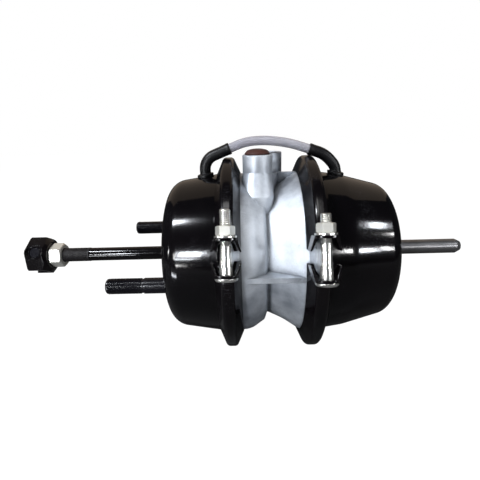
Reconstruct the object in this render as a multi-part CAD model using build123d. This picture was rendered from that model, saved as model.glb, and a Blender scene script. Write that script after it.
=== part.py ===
from build123d import *
from math import atan2, cos, degrees, hypot, radians, sqrt, tan
import os

# A double-diaphragm spring brake chamber: a service chamber and a spring
# chamber share one cast centre housing, and a V-section clamp band closes each.
# Millimetres. X runs along the chamber's axis from the mounting face towards
# the spring end, the pushrod points to -X, and the air ports point up, to +Z.

# ---------------------------------------------------------------- clamp bands
band_r = 104.5              # outside of the crest
band_sheet = 2.5
band_crest = 10.0           # width of the flat crest
band_flank = 24.0           # lean of each flank from the radial plane, degrees
band_depth = 16.0           # from the crest to the feet
band_foot_r = band_r - band_depth
service_band_x = 65.5       # mid-plane of the band on the service side
spring_band_x = 148.2       # mid-plane of the band on the spring side
service_split = 16.5        # the front gap's height above the horizontal, degrees
spring_split = 15.2
service_half_gap = 4.5      # from the split plane to the end of each half
spring_half_gap = 6.2
service_tab = 14.0          # from the split plane to the inner face of a lug's tab
spring_tab = 17.0
tab_sheet = 2.5
tab_half_width = 9.8
tab_rise = 9.5              # from the clamp bolt's axis to the tab's outer edge
claw_half_width = 13.0      # the tab's bent sides flare to this at their tips
claw_tip = 1.2              # thickness there
notch_lead = 2.0            # the round notch at each end reaches this far past the tab
crest_round = 4.0
lip_round = 1.0             # where a housing's wall turns up into its rim

# ------------------------------------------------------------- clamp hardware
clamp_bolt_stand = 8.5      # from the band's crest to a clamp bolt's axis
clamp_bolt_axis_r = band_r + clamp_bolt_stand
clamp_bolt_r = 4.75
clamp_bolt_head_r = 9.8
clamp_bolt_head = 3.2
clamp_bolt_neck = 6.0       # thickened neck next to the head
clamp_bolt_neck_r = 5.6
clamp_bolt_length = 60.0    # over all
clamp_nut_flats = 14.3
clamp_nut_height = 8.2
clamp_washer_r = 9.5
clamp_washer_sheet = 1.6

# ------------------------------------------------------------ service housing
housing_sheet = 3.0
rim_inset = 6.5             # from the crest to both housings' rims, inside the bands
rim_r = band_r - rim_inset
service_wall_slope = 0.15   # growth of the radius along X
service_wall_step = 0.7     # from the band's foot to the cone of the wall below it
service_wall_r = band_foot_r + service_wall_step - service_wall_slope * service_band_x
service_corner = 20.0
rod_hole_r = 12.5
drain_hole_r = 4.0
drain_hole_x = 27.0
drain_hole_angle = 24.0     # each side of the lowest line, degrees

# ------------------------------------------------------------- mounting studs
stud_circle_r = 60.325      # half of the 4.75 in stud spacing
stud_tilt = 13.73           # the front stud sits lower than the back one, degrees
stud_r = 8.0
stud_reach = 59.1           # from the mounting face to a stud's tip
stud_plain = 21.0           # plain shank outside the face
stud_relief = 2.0
stud_relief_r = 7.1
stud_tip = 3.0
stud_head_r = 12.0
stud_head = 5.0
stud_plate_sheet = 5.0
stud_plate_r = 50.0
stud_plate_width = 44.0
stud_plate_rim = 12.7       # of the plate round each stud, from the stud's axis
stud_plate_reach = stud_circle_r + stud_plate_rim

# ------------------------------------------------------------- spring housing
end_face_x = 232.0
spring_wall_step = 1.1
spring_wall_r = band_foot_r - spring_wall_step
spring_knee_x = 182.0
spring_knee_drop = 3.5
spring_knee_r = spring_wall_r - spring_knee_drop
spring_end_drop = 17.3      # the cone of the wall, carried on to the end face
spring_end_r = spring_wall_r - spring_end_drop
spring_corner = 16.0
release_hole_r = 8.8

# ------------------------------------------------------------- centre housing
casting_wall = 5.0
service_floor_x = 97.0
spring_floor_x = 106.0
bowl_step = 0.9
bowl_r = band_foot_r - bowl_step
bowl_knee_x = 86.0
bowl_knee_drop = 1.0
bowl_knee_r = bowl_r - bowl_knee_drop
bowl_edge_x = 100.3
bowl_edge_drop = 10.8
bowl_edge_r = bowl_r - bowl_edge_drop
waist_x = 103.2
waist_drop = 19.1
waist_r = bowl_r - waist_drop
cone_knee_x = 120.0
cone_knee_rise = 7.7
cone_knee_r = waist_r + cone_knee_rise
cone_rim_x = 135.2
cone_rim_step = 2.1
cone_rim_r = band_foot_r - cone_rim_step
bore_boss_r = 19.5
bore_boss_end_x = 112.0
web_top = 3.0               # the side webs' top face
web_sheet = 5.0
web_inset = 1.7
web_reach = band_foot_r - web_inset
top_rib_sheet = 5.0
top_rib_y = 6.0
top_rib_step = 1.0
top_rib_z = band_foot_r - top_rib_step
port_boss_r = 15.0
port_stand = 3.8            # the port faces stand this far above the bands
port_top_z = band_r + port_stand
service_port_x = 95.5
spring_port_x = 108.4
port_offset = 19.25         # each port's axis from the middle plane
port_thread_r = 10.2        # minor radius of an M22 x 1.5 thread
port_thread_depth = 16.0
port_passage_r = 5.0
root_shift = 11.5           # how far the front boss's root leans forward
root_left = 2.0             # and towards the service side
root_r = 17.5
root_knee_z = 70.0
root_foot_z = 48.0
saddle_foot_z = 48.0        # the web that joins the bosses and fills the waist
saddle_top_z = 87.0
saddle_spread = 3.0         # how much wider than the bosses it is at its foot

# ----------------------------------------------------------- seals in the wall
adapter_rod_r = 11.0
running_gap = 0.06
bush_wall = 2.9
bush_length = 5.0
seal_section_r = 1.45
seal_pitch = 3.6
first_seal = 3.0            # from the wall's service face to the first seal
seal_groove_r = 14.2
seal_groove = 3.2
retaining_ring_sheet = 1.0

# -------------------------------------------------------------- soft diaphragms
diaphragm_sheet = 3.0
bead_inset = 0.4
bead_r = rim_r - bead_inset

# -------------------------------------------------------------- pushrod group
push_plate_x = 90.0         # front face of the push plate at rest
push_plate_sheet = 3.4
push_plate_gap = 21.6       # from the bowl's wall to the push plate's edge
push_plate_r = bowl_r - push_plate_gap
push_plate_rim = 7.0
rod_r = 7.5
rod_thread_r = 7.9
rod_thread_x = -97.5        # where the thread starts
rod_end_x = -146.5
rod_collar_r = 13.0
rod_collar = 5.0
lock_nut_x = -128.0         # the face towards the chamber
lock_nut_height = 13.4
lock_nut_flats = 24.0
lock_nut_roll = 10.0
clevis_length = 21.9
clevis_corner_r = 22.0      # six-sided forging, 38 mm across flats
clevis_slot = 16.5
clevis_slot_depth = 16.4
clevis_pin_r = 6.5
clevis_pin_inset = 9.5      # from the clevis's open end to the pin
clevis_pin_seat = 17.5      # from the axis to the flat round each end of the pin
clevis_pin_seat_r = 9.2
clevis_neck_r = 15.5        # where the cone behind the forging meets the lock nut
clevis_shoulder = 5.0
clevis_roll = -30.0         # the pin's front end points up, degrees

# --------------------------------------------------------------- spring group
stroke = 57.0
stroke_spare = 2.4          # left between the adapter's plate and the bore's boss
adapter_plate_x = bore_boss_end_x + stroke + stroke_spare
adapter_plate_sheet = 4.0
adapter_plate_r = 50.0
adapter_tip_recess = 0.3    # from the wall's service face to the rod's end
piston_sheet = 5.0
piston_gap = 23.4           # from the wall of the spring housing to the piston
piston_r = spring_wall_r - piston_gap
piston_rim = 8.0
piston_rim_sheet = 1.6
hub_r = 17.0
hub_length = 20.0
socket_r = 13.4
socket_depth = 8.4
bolt_r = 8.0                # release bolt
bolt_tip_x = 321.5
bolt_tip_cone = 5.0
bolt_tip_r = 5.5
bolt_head = 7.6
bolt_head_width = 12.0
bolt_head_span = 25.4
release_washer_r = 17.0
release_washer_sheet = 3.0
release_nut_flats = 24.0
release_nut_height = 13.0

# --------------------------------------------------------------------- springs
return_wire_r = 2.25
return_turns = 5.5
return_large_r = 42.0
return_small_r = 26.0
adapter_wire_r = 1.75
adapter_turns = 4.0
adapter_large_r = 42.0
adapter_small_r = 25.0
power_wire_r = 5.5
power_turns = 3.5
power_spring_play = 0.9     # between its first coil and the piston's rim
power_large_r = piston_r - piston_rim_sheet - power_spring_play - power_wire_r
power_small_r = 30.0

# ----------------------------------------------------------- vent line and plug
tube_r = 4.75
elbow_r = 5.75
elbow_bore_r = 3.5
elbow_flange_r = 8.6
elbow_flange = 3.0
elbow_block = 60.0          # tall enough to pass right through a housing's wall
elbow_neck_r = 5.5
elbow_bead_r = 6.9
elbow_bead = 2.5
socket_length = 12.0        # how far the tube goes into each elbow
service_vent_x = 40.4
spring_vent_x = 179.0
service_joint_x = 67.6      # where the tube shows out of the elbow
spring_joint_x = 150.0
plug_head_r = 12.6
plug_head = 5.5
plug_stem_r = 9.9
plug_stem = 11.0

# ------------------------------------------------------------------ clearances
seat_gap = 0.1              # between pieces that are clamped or seated
free_gap = 0.3              # between pieces that move past each other
thread_gap = 0.06           # round a bolt in its own nut

axis_x = Axis.X


# ------------------------------------------------------------------ small tools
def corner_at(corner):
    return corner[0], corner[1]


def round_of(corner):
    return corner[2] if len(corner) > 2 else 0.0


def unit(start, end):
    length = hypot(end[0] - start[0], end[1] - start[1])
    return (end[0] - start[0]) / length, (end[1] - start[1]) / length


def moved_left(corners, distance):
    """An open outline moved to the left of its own direction, with its roundings."""
    moved = []
    for i, corner in enumerate(corners):
        here = corner_at(corner)
        before = unit(corner_at(corners[i - 1]), here) if i else None
        after = unit(here, corner_at(corners[i + 1])) if i + 1 < len(corners) else None
        before = before or after
        after = after or before
        share = 1 + before[0] * after[0] + before[1] * after[1]
        x = here[0] - (before[1] + after[1]) / share * distance
        r = here[1] + (before[0] + after[0]) / share * distance
        turns_left = before[0] * after[1] - before[1] * after[0] > 0
        rounding = round_of(corner)
        if rounding:
            rounding += -distance if turns_left else distance
        moved.append((x, r, max(rounding, 0.0)))
    return moved


def outline(corners):
    """A flat face from (x, r) corners; a third number rounds that corner."""
    face = make_face(Polyline(*[corner_at(c) for c in corners], close=True))
    for corner in corners:
        if round_of(corner):
            place = Vector(corner[0], corner[1])
            nearest = min(face.vertices(), key=lambda v: (Vector(v) - place).length)
            face = fillet(nearest, corner[2])
    return face


def turned(corners):
    """A solid turned about the chamber's axis."""
    return revolve(outline(corners), axis_x)


def turned_sheet(corners, sheet):
    """A pressed shell: the outline on its outside, the sheet to the left of it."""
    inner = moved_left(corners, sheet)
    return turned(corners + inner[::-1])


def rod(x_start, x_end, radius):
    """A cylinder on the chamber's axis."""
    length = abs(x_end - x_start)
    middle = (x_start + x_end) / 2
    return Pos(middle, 0, 0) * Rot(0, 90, 0) * Cylinder(radius, length)


def hexagon(x_start, x_end, flats, bore_r):
    """A hexagon nut on the chamber's axis, with both faces chamfered."""
    length = abs(x_end - x_start)
    corner_r = flats / sqrt(3)
    prism = extrude(RegularPolygon(corner_r, 6), length / 2, both=True)
    barrel = Cylinder(corner_r, length)
    barrel = chamfer(barrel.edges().filter_by(GeomType.CIRCLE), corner_r - flats / 2)
    nut = prism & barrel
    nut -= Cylinder(bore_r, length)
    return Pos((x_start + x_end) / 2, 0, 0) * Rot(0, 90, 0) * nut


def about_axis(angle, thing):
    """Turn a piece about the chamber's axis, from +Y towards +Z."""
    return Rot(angle, 0, 0) * thing


# ---------------------------------------------- the V joint that a band closes
def flank_half(radius):
    """Half the band's width at a radius, outside."""
    return band_crest / 2 + (band_r - radius) * tan(radians(band_flank))


def rim_half(radius):
    """From the band's mid-plane to the outside of a rim seated in the band."""
    return flank_half(radius) - (band_sheet + seat_gap) / cos(radians(band_flank))


def bead_half(radius, rim_sheet=housing_sheet):
    """From the band's mid-plane to the face of a rim that grips the bead."""
    return rim_half(radius) - rim_sheet / cos(radians(band_flank))


# ------------------------------------------------------------- service housing
def service_wall(x):
    return service_wall_r + service_wall_slope * x


def service_outline():
    lip_x = service_band_x - rim_half(service_wall(service_band_x - rim_half(band_foot_r)))
    return [
        (service_band_x - rim_half(rim_r), rim_r),
        (lip_x, service_wall(lip_x), lip_round),
        (0, service_wall_r, service_corner),
        (0, rod_hole_r),
    ]


def space_within(corners, depth):
    """All that a housing's outline holds, from a depth under its outside inwards."""
    inner = moved_left(corners, depth)
    return turned(inner + [(inner[-1][0], 0), (inner[0][0], 0)])


def at_studs(thing):
    """The same thing on both studs' axes."""
    places = []
    for side in (180, 0):
        places.append(about_axis(side + stud_tilt, Pos(0, stud_circle_r, 0) * thing))
    return places


def make_service_housing():
    shell = turned_sheet(service_outline(), housing_sheet)
    shell -= at_studs(rod(-1, housing_sheet + stud_plate_sheet, stud_r + seat_gap))
    for side in (-1, 1):
        drill = Pos(drain_hole_x, 0, -service_wall_r) * Cylinder(drain_hole_r, 4 * housing_sheet)
        shell -= Rot(side * drain_hole_angle, 0, 0) * drill
    shell -= vent_hole(service_vent_x)
    return shell


def make_stud_plate():
    plate_front = housing_sheet + seat_gap
    plate_back = plate_front + stud_plate_sheet
    ears = SlotOverall(2 * stud_plate_reach, stud_plate_width)
    shape = Circle(stud_plate_r) + ears
    shape -= Circle(rod_hole_r + 2)
    slab = extrude(Rot(0, 90, 0) * Rot(0, 0, 90) * shape, stud_plate_sheet)
    slab = Pos(plate_front, 0, 0) * about_axis(stud_tilt, slab)
    slab = slab & space_within(service_outline(), housing_sheet + seat_gap)
    return slab - at_studs(rod(plate_front - 1, plate_back + 1, stud_r + seat_gap))


def make_mounting_studs():
    head_x = housing_sheet + 2 * seat_gap + stud_plate_sheet
    shank = rod(head_x + 1, -stud_plain, stud_r)
    relief = rod(-stud_plain, -stud_plain - stud_relief, stud_relief_r)
    thread = rod(-stud_plain - stud_relief, -stud_reach, stud_r)
    tip = thread.edges().filter_by(GeomType.CIRCLE).sort_by(axis_x)[0]
    thread = fillet(tip, stud_tip)
    head = rod(head_x, head_x + stud_head, stud_head_r)
    crown = head.edges().filter_by(GeomType.CIRCLE).sort_by(axis_x)[-1]
    head = fillet(crown, stud_head / 2)
    return Compound(at_studs(shank + relief + thread + head))


# -------------------------------------------------------------- spring housing
def spring_outline():
    lip_x = spring_band_x + rim_half(spring_wall_r)
    return [
        (end_face_x, release_hole_r),
        (end_face_x, spring_end_r, spring_corner),
        (spring_knee_x, spring_knee_r, 60.0),
        (lip_x, spring_wall_r, lip_round),
        (spring_band_x + rim_half(rim_r), rim_r),
    ]


def make_spring_housing():
    shell = turned_sheet(spring_outline(), housing_sheet)
    return shell - vent_hole(spring_vent_x)


# -------------------------------------------------------------- centre housing
def centre_outside():
    return [
        (service_band_x + bead_half(rim_r), rim_r),
        (service_band_x + rim_half(rim_r), rim_r, 0.8),
        (service_band_x + rim_half(band_foot_r), band_foot_r - seat_gap),
        (service_band_x + rim_half(band_foot_r) + 1, bowl_r),
        (bowl_knee_x, bowl_knee_r, 24.0),
        (bowl_edge_x, bowl_edge_r, 5.0),
        (waist_x, waist_r, 1.2),
        (cone_knee_x, cone_knee_r, 60.0),
        (cone_rim_x, cone_rim_r, 8.0),
        (spring_band_x - rim_half(band_foot_r), band_foot_r - seat_gap),
        (spring_band_x - rim_half(rim_r), rim_r, 0.8),
        (spring_band_x - bead_half(rim_r), rim_r),
    ]


def service_bowl():
    """The hollow behind the service diaphragm."""
    bead_foot = service_band_x + bead_half(band_foot_r)
    return [
        (service_band_x + bead_half(rim_r), rim_r),
        (bead_foot, band_foot_r),
        (bead_foot + 1, bowl_r - casting_wall, 2.0),
        (bowl_knee_x - 2, bowl_knee_r - casting_wall, 18.0),
        (service_floor_x, bowl_edge_r - casting_wall, 9.0),
        (service_floor_x, 0),
        (service_band_x, 0),
        (service_band_x, rim_r),
    ]


def spring_bowl():
    """The hollow in front of the spring diaphragm."""
    bead_foot = spring_band_x - bead_half(band_foot_r)
    drop = casting_wall + 0.3
    return [
        (spring_band_x - bead_half(rim_r), rim_r),
        (bead_foot, band_foot_r),
        (bead_foot - 1, cone_rim_r - casting_wall / 2, 2.0),
        (cone_rim_x + 1, cone_rim_r - drop, 8.0),
        (cone_knee_x + 2, cone_knee_r - drop, 50.0),
        (spring_floor_x, waist_r - casting_wall, 6.0),
        (spring_floor_x, bore_boss_r),
        (bore_boss_end_x, bore_boss_r, 2.0),
        (bore_boss_end_x, 0),
        (spring_band_x, 0),
        (spring_band_x, rim_r),
    ]


def side_webs():
    """A flat web on each side of the waist, from one bowl to the other."""
    left = service_band_x + rim_half(band_foot_r) + 1
    right = spring_band_x - rim_half(band_foot_r) - 1.5
    plate = Box(right - left, 2 * web_reach, web_sheet)
    return Pos((left + right) / 2, 0, web_top - web_sheet / 2) * plate


def top_rib():
    right = spring_band_x - rim_half(band_foot_r) - 1
    plate = Box(right - spring_port_x, top_rib_sheet, top_rib_z)
    return Pos((spring_port_x + right) / 2, top_rib_y, top_rib_z / 2) * plate


def front_root():
    """The front boss's root, which leans forward as it goes down between the bowls."""
    top = Pos(service_port_x, -port_offset, port_top_z - port_thread_depth) * Circle(port_boss_r - 0.6)
    knee_place = Pos(service_port_x - root_left, -port_offset - root_shift, root_knee_z)
    knee = knee_place * Circle(root_r)
    foot_place = Pos(service_port_x - root_left, -port_offset - root_shift, root_foot_z)
    foot = foot_place * Circle(root_r)
    return loft([top, knee], ruled=True) + loft([knee, foot], ruled=True)


def saddle_level(z, spread):
    """The saddle's outline at one height, spread beyond the bosses' own."""
    left = service_port_x - port_boss_r + 1
    right = spring_port_x + port_boss_r - 1 + spread
    corners = Polyline(
        (left, -port_offset),
        (service_port_x + port_boss_r + spread / 2, -port_offset - spread),
        (right, port_offset),
        (spring_port_x, port_offset + port_boss_r + spread),
        (left + port_boss_r / 2, port_offset + port_boss_r + spread),
        (left, 0),
        close=True,
    )
    return Pos(0, 0, z) * make_face(corners)


def saddle():
    """The block that joins both port bosses to the bowls and fills the waist."""
    foot = saddle_level(saddle_foot_z, saddle_spread)
    top = saddle_level(saddle_top_z, 0)
    return front_root() + loft([foot, top], ruled=True)


def port_axes():
    return [(service_port_x, -port_offset), (spring_port_x, port_offset)]


def port_boss(x, y):
    boss = Cylinder(port_boss_r, port_top_z, align=(Align.CENTER, Align.CENTER, Align.MIN))
    boss = chamfer(boss.edges().filter_by(GeomType.CIRCLE).sort_by(Axis.Z)[-1], 0.8)
    return Pos(x, y, 0) * boss


def port_hole(x, y, floor_z):
    thread_floor = port_top_z - port_thread_depth
    thread = Pos(x, y, port_top_z - port_thread_depth / 2) * Cylinder(port_thread_r, port_thread_depth)
    passage = Pos(x, y, (thread_floor + floor_z) / 2) * Cylinder(port_passage_r, thread_floor - floor_z)
    return thread + passage


def rod_bore():
    bore = rod(service_floor_x - 1, bore_boss_end_x + 1, adapter_rod_r + free_gap)
    for number in range(2):
        middle = service_floor_x + first_seal + number * seal_pitch
        bore += rod(middle - seal_groove / 2, middle + seal_groove / 2, seal_groove_r)
    bore += rod(bush_x(), bore_boss_end_x + 1, bush_r() + seat_gap)
    ring_x = retaining_ring_x()
    bore += rod(ring_x - seat_gap, ring_x + retaining_ring_sheet + seat_gap, bush_r() + 1.2)
    return bore


def make_centre_housing():
    casting = turned(centre_outside() + [(spring_band_x, 0), (service_band_x, 0)])
    upper = saddle() + side_webs() + top_rib()
    for x, y in port_axes():
        upper += port_boss(x, y)
    casting += upper
    casting -= turned(service_bowl())
    casting -= turned(spring_bowl())
    for x, y in port_axes():
        casting -= port_hole(x, y, waist_r - 2 * casting_wall)
    return casting - rod_bore()


# ---------------------------------------------------------- seals in the wall
def bush_x():
    return service_floor_x + first_seal + seal_pitch + seal_groove / 2 + 1.2


def bush_r():
    return adapter_rod_r + running_gap + bush_wall


def retaining_ring_x():
    return bush_x() + bush_length + seat_gap


def make_guide_bush():
    sleeve = rod(bush_x() + seat_gap, bush_x() + bush_length, bush_r())
    return sleeve - rod(bush_x() - 1, bore_boss_end_x, adapter_rod_r + running_gap)


def make_rod_seals():
    rings = []
    for number in range(2):
        middle = service_floor_x + first_seal + number * seal_pitch
        ring = Torus(adapter_rod_r + running_gap + seal_section_r, seal_section_r)
        rings.append(Pos(middle, 0, 0) * Rot(0, 90, 0) * ring)
    return Compound(rings)


def make_retaining_ring():
    start = retaining_ring_x()
    ring = rod(start, start + retaining_ring_sheet, bush_r() + 1.0)
    ring -= rod(start - 1, start + 2, adapter_rod_r + 1.2)
    gap = Box(4, 2 * adapter_rod_r, 6)
    return ring - Pos(start, 0, -adapter_rod_r - 2) * gap


# ----------------------------------------------------------------- clamp bands
def band_section(mid_x):
    """The V-section of one band, both of its feet cut off at one radius."""
    foot = flank_half(band_foot_r)
    crest = band_crest / 2
    outside = [
        (mid_x + foot, band_foot_r),
        (mid_x + crest, band_r, crest_round),
        (mid_x - crest, band_r, crest_round),
        (mid_x - foot, band_foot_r),
    ]
    inside = moved_left(outside, band_sheet)
    inner_foot = foot - band_sheet / cos(radians(band_flank))
    inside[0] = (mid_x + inner_foot, band_foot_r)
    inside[-1] = (mid_x - inner_foot, band_foot_r)
    return outline(outside + inside[::-1])


def band_half(mid_x, half_gap, tab_offset):
    """Half a band, from the split on +Y over the top to the split on -Y."""
    half = revolve(band_section(mid_x), axis_x, revolution_arc=180)
    notch_r = tab_offset + notch_lead
    notch_y = sqrt(band_r**2 - tab_offset**2) + sqrt(notch_r**2 - tab_offset**2)
    for side in (-1, 1):
        clearance = Box(3 * band_crest, band_crest * 3, half_gap)
        half -= Pos(mid_x, side * (band_r + band_foot_r) / 2, half_gap / 2) * clearance
        half -= Pos(mid_x, side * notch_y, 0) * Rot(0, 90, 0) * Cylinder(notch_r, 3 * band_crest)
        half += Pos(mid_x, 0, 0) * claw(side, half_gap, tab_offset)
        half += Pos(mid_x, 0, tab_offset) * lug_tab(side)
    return half


def claw(side, half_gap, tab_offset):
    """The two bent sides of a lug, which run from its tab down past the bolt."""
    root = band_r - 2 * band_sheet
    beside = Polyline(
        (side * root, half_gap),
        (side * clamp_bolt_axis_r, half_gap),
        (side * (clamp_bolt_axis_r + tab_rise / 2), tab_offset + tab_sheet),
        (side * root, tab_offset + tab_sheet),
        close=True,
    )
    profile = extrude(Plane.YZ * make_face(beside), 2 * claw_half_width, both=True)
    sides = []
    for hand in (-1, 1):
        front = Polyline(
            (hand * tab_half_width, tab_offset + tab_sheet),
            (hand * (tab_half_width - tab_sheet), tab_offset),
            (hand * (claw_half_width - claw_tip), half_gap),
            (hand * claw_half_width, half_gap),
            close=True,
        )
        sides.append(extrude(Plane.XZ * make_face(front), 2 * clamp_bolt_axis_r, both=True))
    return profile & (sides[0] + sides[1])


def lug_tab(side):
    """The bent-up tab that a clamp bolt pulls on, round at its outer edge."""
    root = band_r - band_sheet - 1
    tip = clamp_bolt_axis_r + tab_rise
    shape = Pos(0, side * (root + tip) / 2) * Rectangle(2 * tab_half_width, tip - root)
    outer = shape.vertices().sort_by(Axis.Y)
    shape = fillet(outer[-2:] if side > 0 else outer[:2], tab_half_width * 0.7)
    tab = extrude(shape, tab_sheet)
    return tab - Pos(0, side * clamp_bolt_axis_r) * Cylinder(clamp_bolt_r + free_gap, 4 * tab_sheet)


def service_band_half():
    return band_half(service_band_x, service_half_gap, service_tab)


def spring_band_half():
    return band_half(spring_band_x, spring_half_gap, spring_tab)


def at_clamp_bolts(make):
    """What a function makes for a tab offset, on all four bolts' axes, +Z along the bolt."""
    places = []
    bands = ((service_band_x, service_split, service_tab), (spring_band_x, spring_split, spring_tab))
    for mid_x, split, tab_offset in bands:
        thing = make(tab_offset)
        for turn in (0, 180):
            upright = Pos(mid_x, clamp_bolt_axis_r, 0) * Rot(turn, 0, 0) * thing
            places.append(about_axis(turn - split, upright))
    return Compound(places)


def disc(start, end, radius):
    """A cylinder along +Z."""
    return Pos(0, 0, (start + end) / 2) * Cylinder(radius, end - start)


def clamp_bolt(tab_offset):
    seat = -tab_offset - tab_sheet - seat_gap
    shank = disc(seat - clamp_bolt_head / 2, seat - clamp_bolt_head + clamp_bolt_length, clamp_bolt_r)
    shank = chamfer(shank.edges().filter_by(GeomType.CIRCLE).sort_by(Axis.Z)[-1], 0.8)
    neck = disc(-tab_offset + seat_gap, -tab_offset + clamp_bolt_neck, clamp_bolt_neck_r)
    head = disc(seat - clamp_bolt_head, seat, clamp_bolt_head_r)
    rim = head.edges().filter_by(GeomType.CIRCLE).sort_by(Axis.Z)[0]
    return shank + neck + fillet(rim, clamp_bolt_head * 0.8)


def clamp_washer(tab_offset):
    start = tab_offset + tab_sheet + seat_gap
    washer = disc(start, start + clamp_washer_sheet, clamp_washer_r)
    return washer - disc(start - 1, start + 2 * clamp_washer_sheet, clamp_bolt_r + seat_gap)


def clamp_nut(tab_offset):
    start = tab_offset + tab_sheet + clamp_washer_sheet + 2 * seat_gap
    nut = hexagon(start, start + clamp_nut_height, clamp_nut_flats, clamp_bolt_r + thread_gap)
    return Rot(0, -90, 0) * nut


# ------------------------------------------------------------- soft diaphragms
def bead(mid_x, side):
    """The wedge-shaped bead of a diaphragm, as (x, r) corners on one side."""
    inner_r = band_foot_r + 1
    return [
        (mid_x + side * (bead_half(inner_r) - seat_gap), inner_r),
        (mid_x + side * (bead_half(bead_r) - seat_gap), bead_r),
    ]


def make_service_diaphragm():
    """A fabric cup that lies in the service bowl, its bead in the band."""
    back_x = service_floor_x - free_gap
    cup_r = bowl_r - casting_wall - 1.2
    left = bead(service_band_x, -1)
    right = bead(service_band_x, 1)
    skin = [
        (right[0][0], right[0][1]),
        (service_band_x + bead_half(band_foot_r) - 1, cup_r, 3.0),
        (bowl_knee_x - 4, cup_r - 0.6, 16.0),
        (back_x, bowl_edge_r - casting_wall - 4, 10.0),
        (back_x, 0),
    ]
    inner = moved_left(skin, -diaphragm_sheet)
    inner[0] = (left[0][0], left[0][1])
    inner[-1] = (back_x - diaphragm_sheet, 0)
    return turned([left[1], right[1]] + skin + inner[::-1])


def make_spring_diaphragm():
    """A fabric cup that lies against the spring piston, its bead in the band."""
    front_x = adapter_plate_x + adapter_plate_sheet + seat_gap
    left = bead(spring_band_x, -1)
    right = bead(spring_band_x, 1)
    skin = [
        (right[0][0], right[0][1]),
        (spring_band_x + bead_half(band_foot_r) - 1, spring_wall_r - 6.5, 3.0),
        (spring_knee_x - 18, spring_wall_r - 7.5, 14.0),
        (front_x + diaphragm_sheet, piston_r, 8.0),
        (front_x + diaphragm_sheet, 0),
    ]
    inner = moved_left(skin, -diaphragm_sheet)
    inner[0] = (left[0][0], left[0][1])
    inner[-1] = (front_x, 0)
    return turned([left[1], right[1]] + skin + inner[::-1])


# --------------------------------------------------------------- pushrod group
def make_push_plate():
    back = push_plate_x + push_plate_sheet
    dish = [
        (push_plate_x - push_plate_rim, push_plate_r),
        (back, push_plate_r, 6.0),
        (back, rod_r + seat_gap),
    ]
    return turned_sheet(dish[::-1], push_plate_sheet)


def make_pushrod():
    shank = rod(push_plate_x + push_plate_sheet, rod_thread_x, rod_r)
    thread = rod(rod_thread_x, rod_end_x, rod_thread_r)
    collar = rod(push_plate_x - seat_gap, push_plate_x - seat_gap - rod_collar, rod_collar_r)
    front = collar.edges().filter_by(GeomType.CIRCLE).sort_by(axis_x)[0]
    return shank + thread + chamfer(front, rod_collar * 0.6)


def make_lock_nut():
    nut = hexagon(lock_nut_x, lock_nut_x - lock_nut_height, lock_nut_flats, rod_thread_r + seat_gap)
    return about_axis(lock_nut_roll, nut)


def make_clevis():
    """A short six-sided forging, slotted for the lever, its pin bore corner to corner."""
    base_x = lock_nut_x - lock_nut_height - seat_gap
    open_x = base_x - clevis_length
    prism = extrude(Rot(0, 0, 90) * RegularPolygon(clevis_corner_r, 6), clevis_length)
    prism = Pos(open_x, 0, 0) * Rot(0, 90, 0) * prism
    envelope = turned([
        (open_x, 0),
        (open_x, clevis_corner_r - 1),
        (open_x + 1.5, clevis_corner_r + 0.5),
        (base_x - clevis_shoulder, clevis_corner_r + 0.5),
        (base_x, clevis_neck_r),
        (base_x, 0),
    ])
    block = prism & envelope
    slot_x = open_x + clevis_slot_depth / 2
    block -= Pos(slot_x, 0, 0) * Box(clevis_slot_depth, clevis_slot, 3 * clevis_corner_r)
    pin_x = open_x + clevis_pin_inset
    block -= Pos(pin_x, 0, 0) * Rot(90, 0, 0) * Cylinder(clevis_pin_r, 3 * clevis_corner_r)
    for side in (-1, 1):
        seat = Pos(pin_x, side * (clevis_pin_seat + clevis_corner_r / 2), 0) * Rot(90, 0, 0)
        block -= seat * Cylinder(clevis_pin_seat_r, clevis_corner_r)
    block -= rod(base_x + 1, open_x, rod_thread_r + seat_gap)
    return about_axis(clevis_roll, block)


# ---------------------------------------------------------------- spring group
def piston_x():
    """The spring piston's face against its diaphragm."""
    return adapter_plate_x + adapter_plate_sheet + diaphragm_sheet + 2 * seat_gap


def make_adapter_pushrod():
    stem = rod(service_floor_x + adapter_tip_recess, adapter_plate_x + 1, adapter_rod_r)
    plate_back = adapter_plate_x + adapter_plate_sheet
    plate = [
        (adapter_plate_x, 0),
        (adapter_plate_x, adapter_plate_r, 1.5),
        (plate_back, adapter_plate_r, 1.5),
        (plate_back, 0),
    ]
    tip = stem.edges().filter_by(GeomType.CIRCLE).sort_by(axis_x)[0]
    return fillet(tip, 2.0) + turned(plate)


def make_spring_piston():
    face = piston_x()
    back = face + piston_sheet
    body = turned([
        (face, 0),
        (face, piston_r, 3.0),
        (back + piston_rim, piston_r),
        (back + piston_rim, piston_r - piston_rim_sheet),
        (back, piston_r - piston_rim_sheet),
        (back, hub_r, 2.0),
        (back + hub_length, hub_r, 1.5),
        (back + hub_length, 0),
    ])
    body -= rod(back, back + hub_length + 1, bolt_r + free_gap)
    body -= rod(back, back + socket_depth, socket_r)
    key = Box(hub_length, bolt_head_width + 1, 2 * socket_r)
    return body - Pos(back + hub_length / 2, 0, 0) * key


def make_release_bolt():
    start = piston_x() + piston_sheet + free_gap
    stem = rod(start, bolt_tip_x, bolt_r)
    tip = stem.edges().filter_by(GeomType.CIRCLE).sort_by(axis_x)[-1]
    stem = chamfer(tip, bolt_tip_cone, bolt_r - bolt_tip_r)
    cross = Pos(start + bolt_head / 2, 0, 0) * Box(bolt_head, bolt_head_span, bolt_head_width)
    return stem + (cross & rod(start, start + bolt_head, bolt_head_span / 2))


def make_release_washer():
    start = end_face_x + seat_gap
    washer = rod(start, start + release_washer_sheet, release_washer_r)
    return washer - rod(start - 1, start + 5, bolt_r + free_gap)


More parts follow.
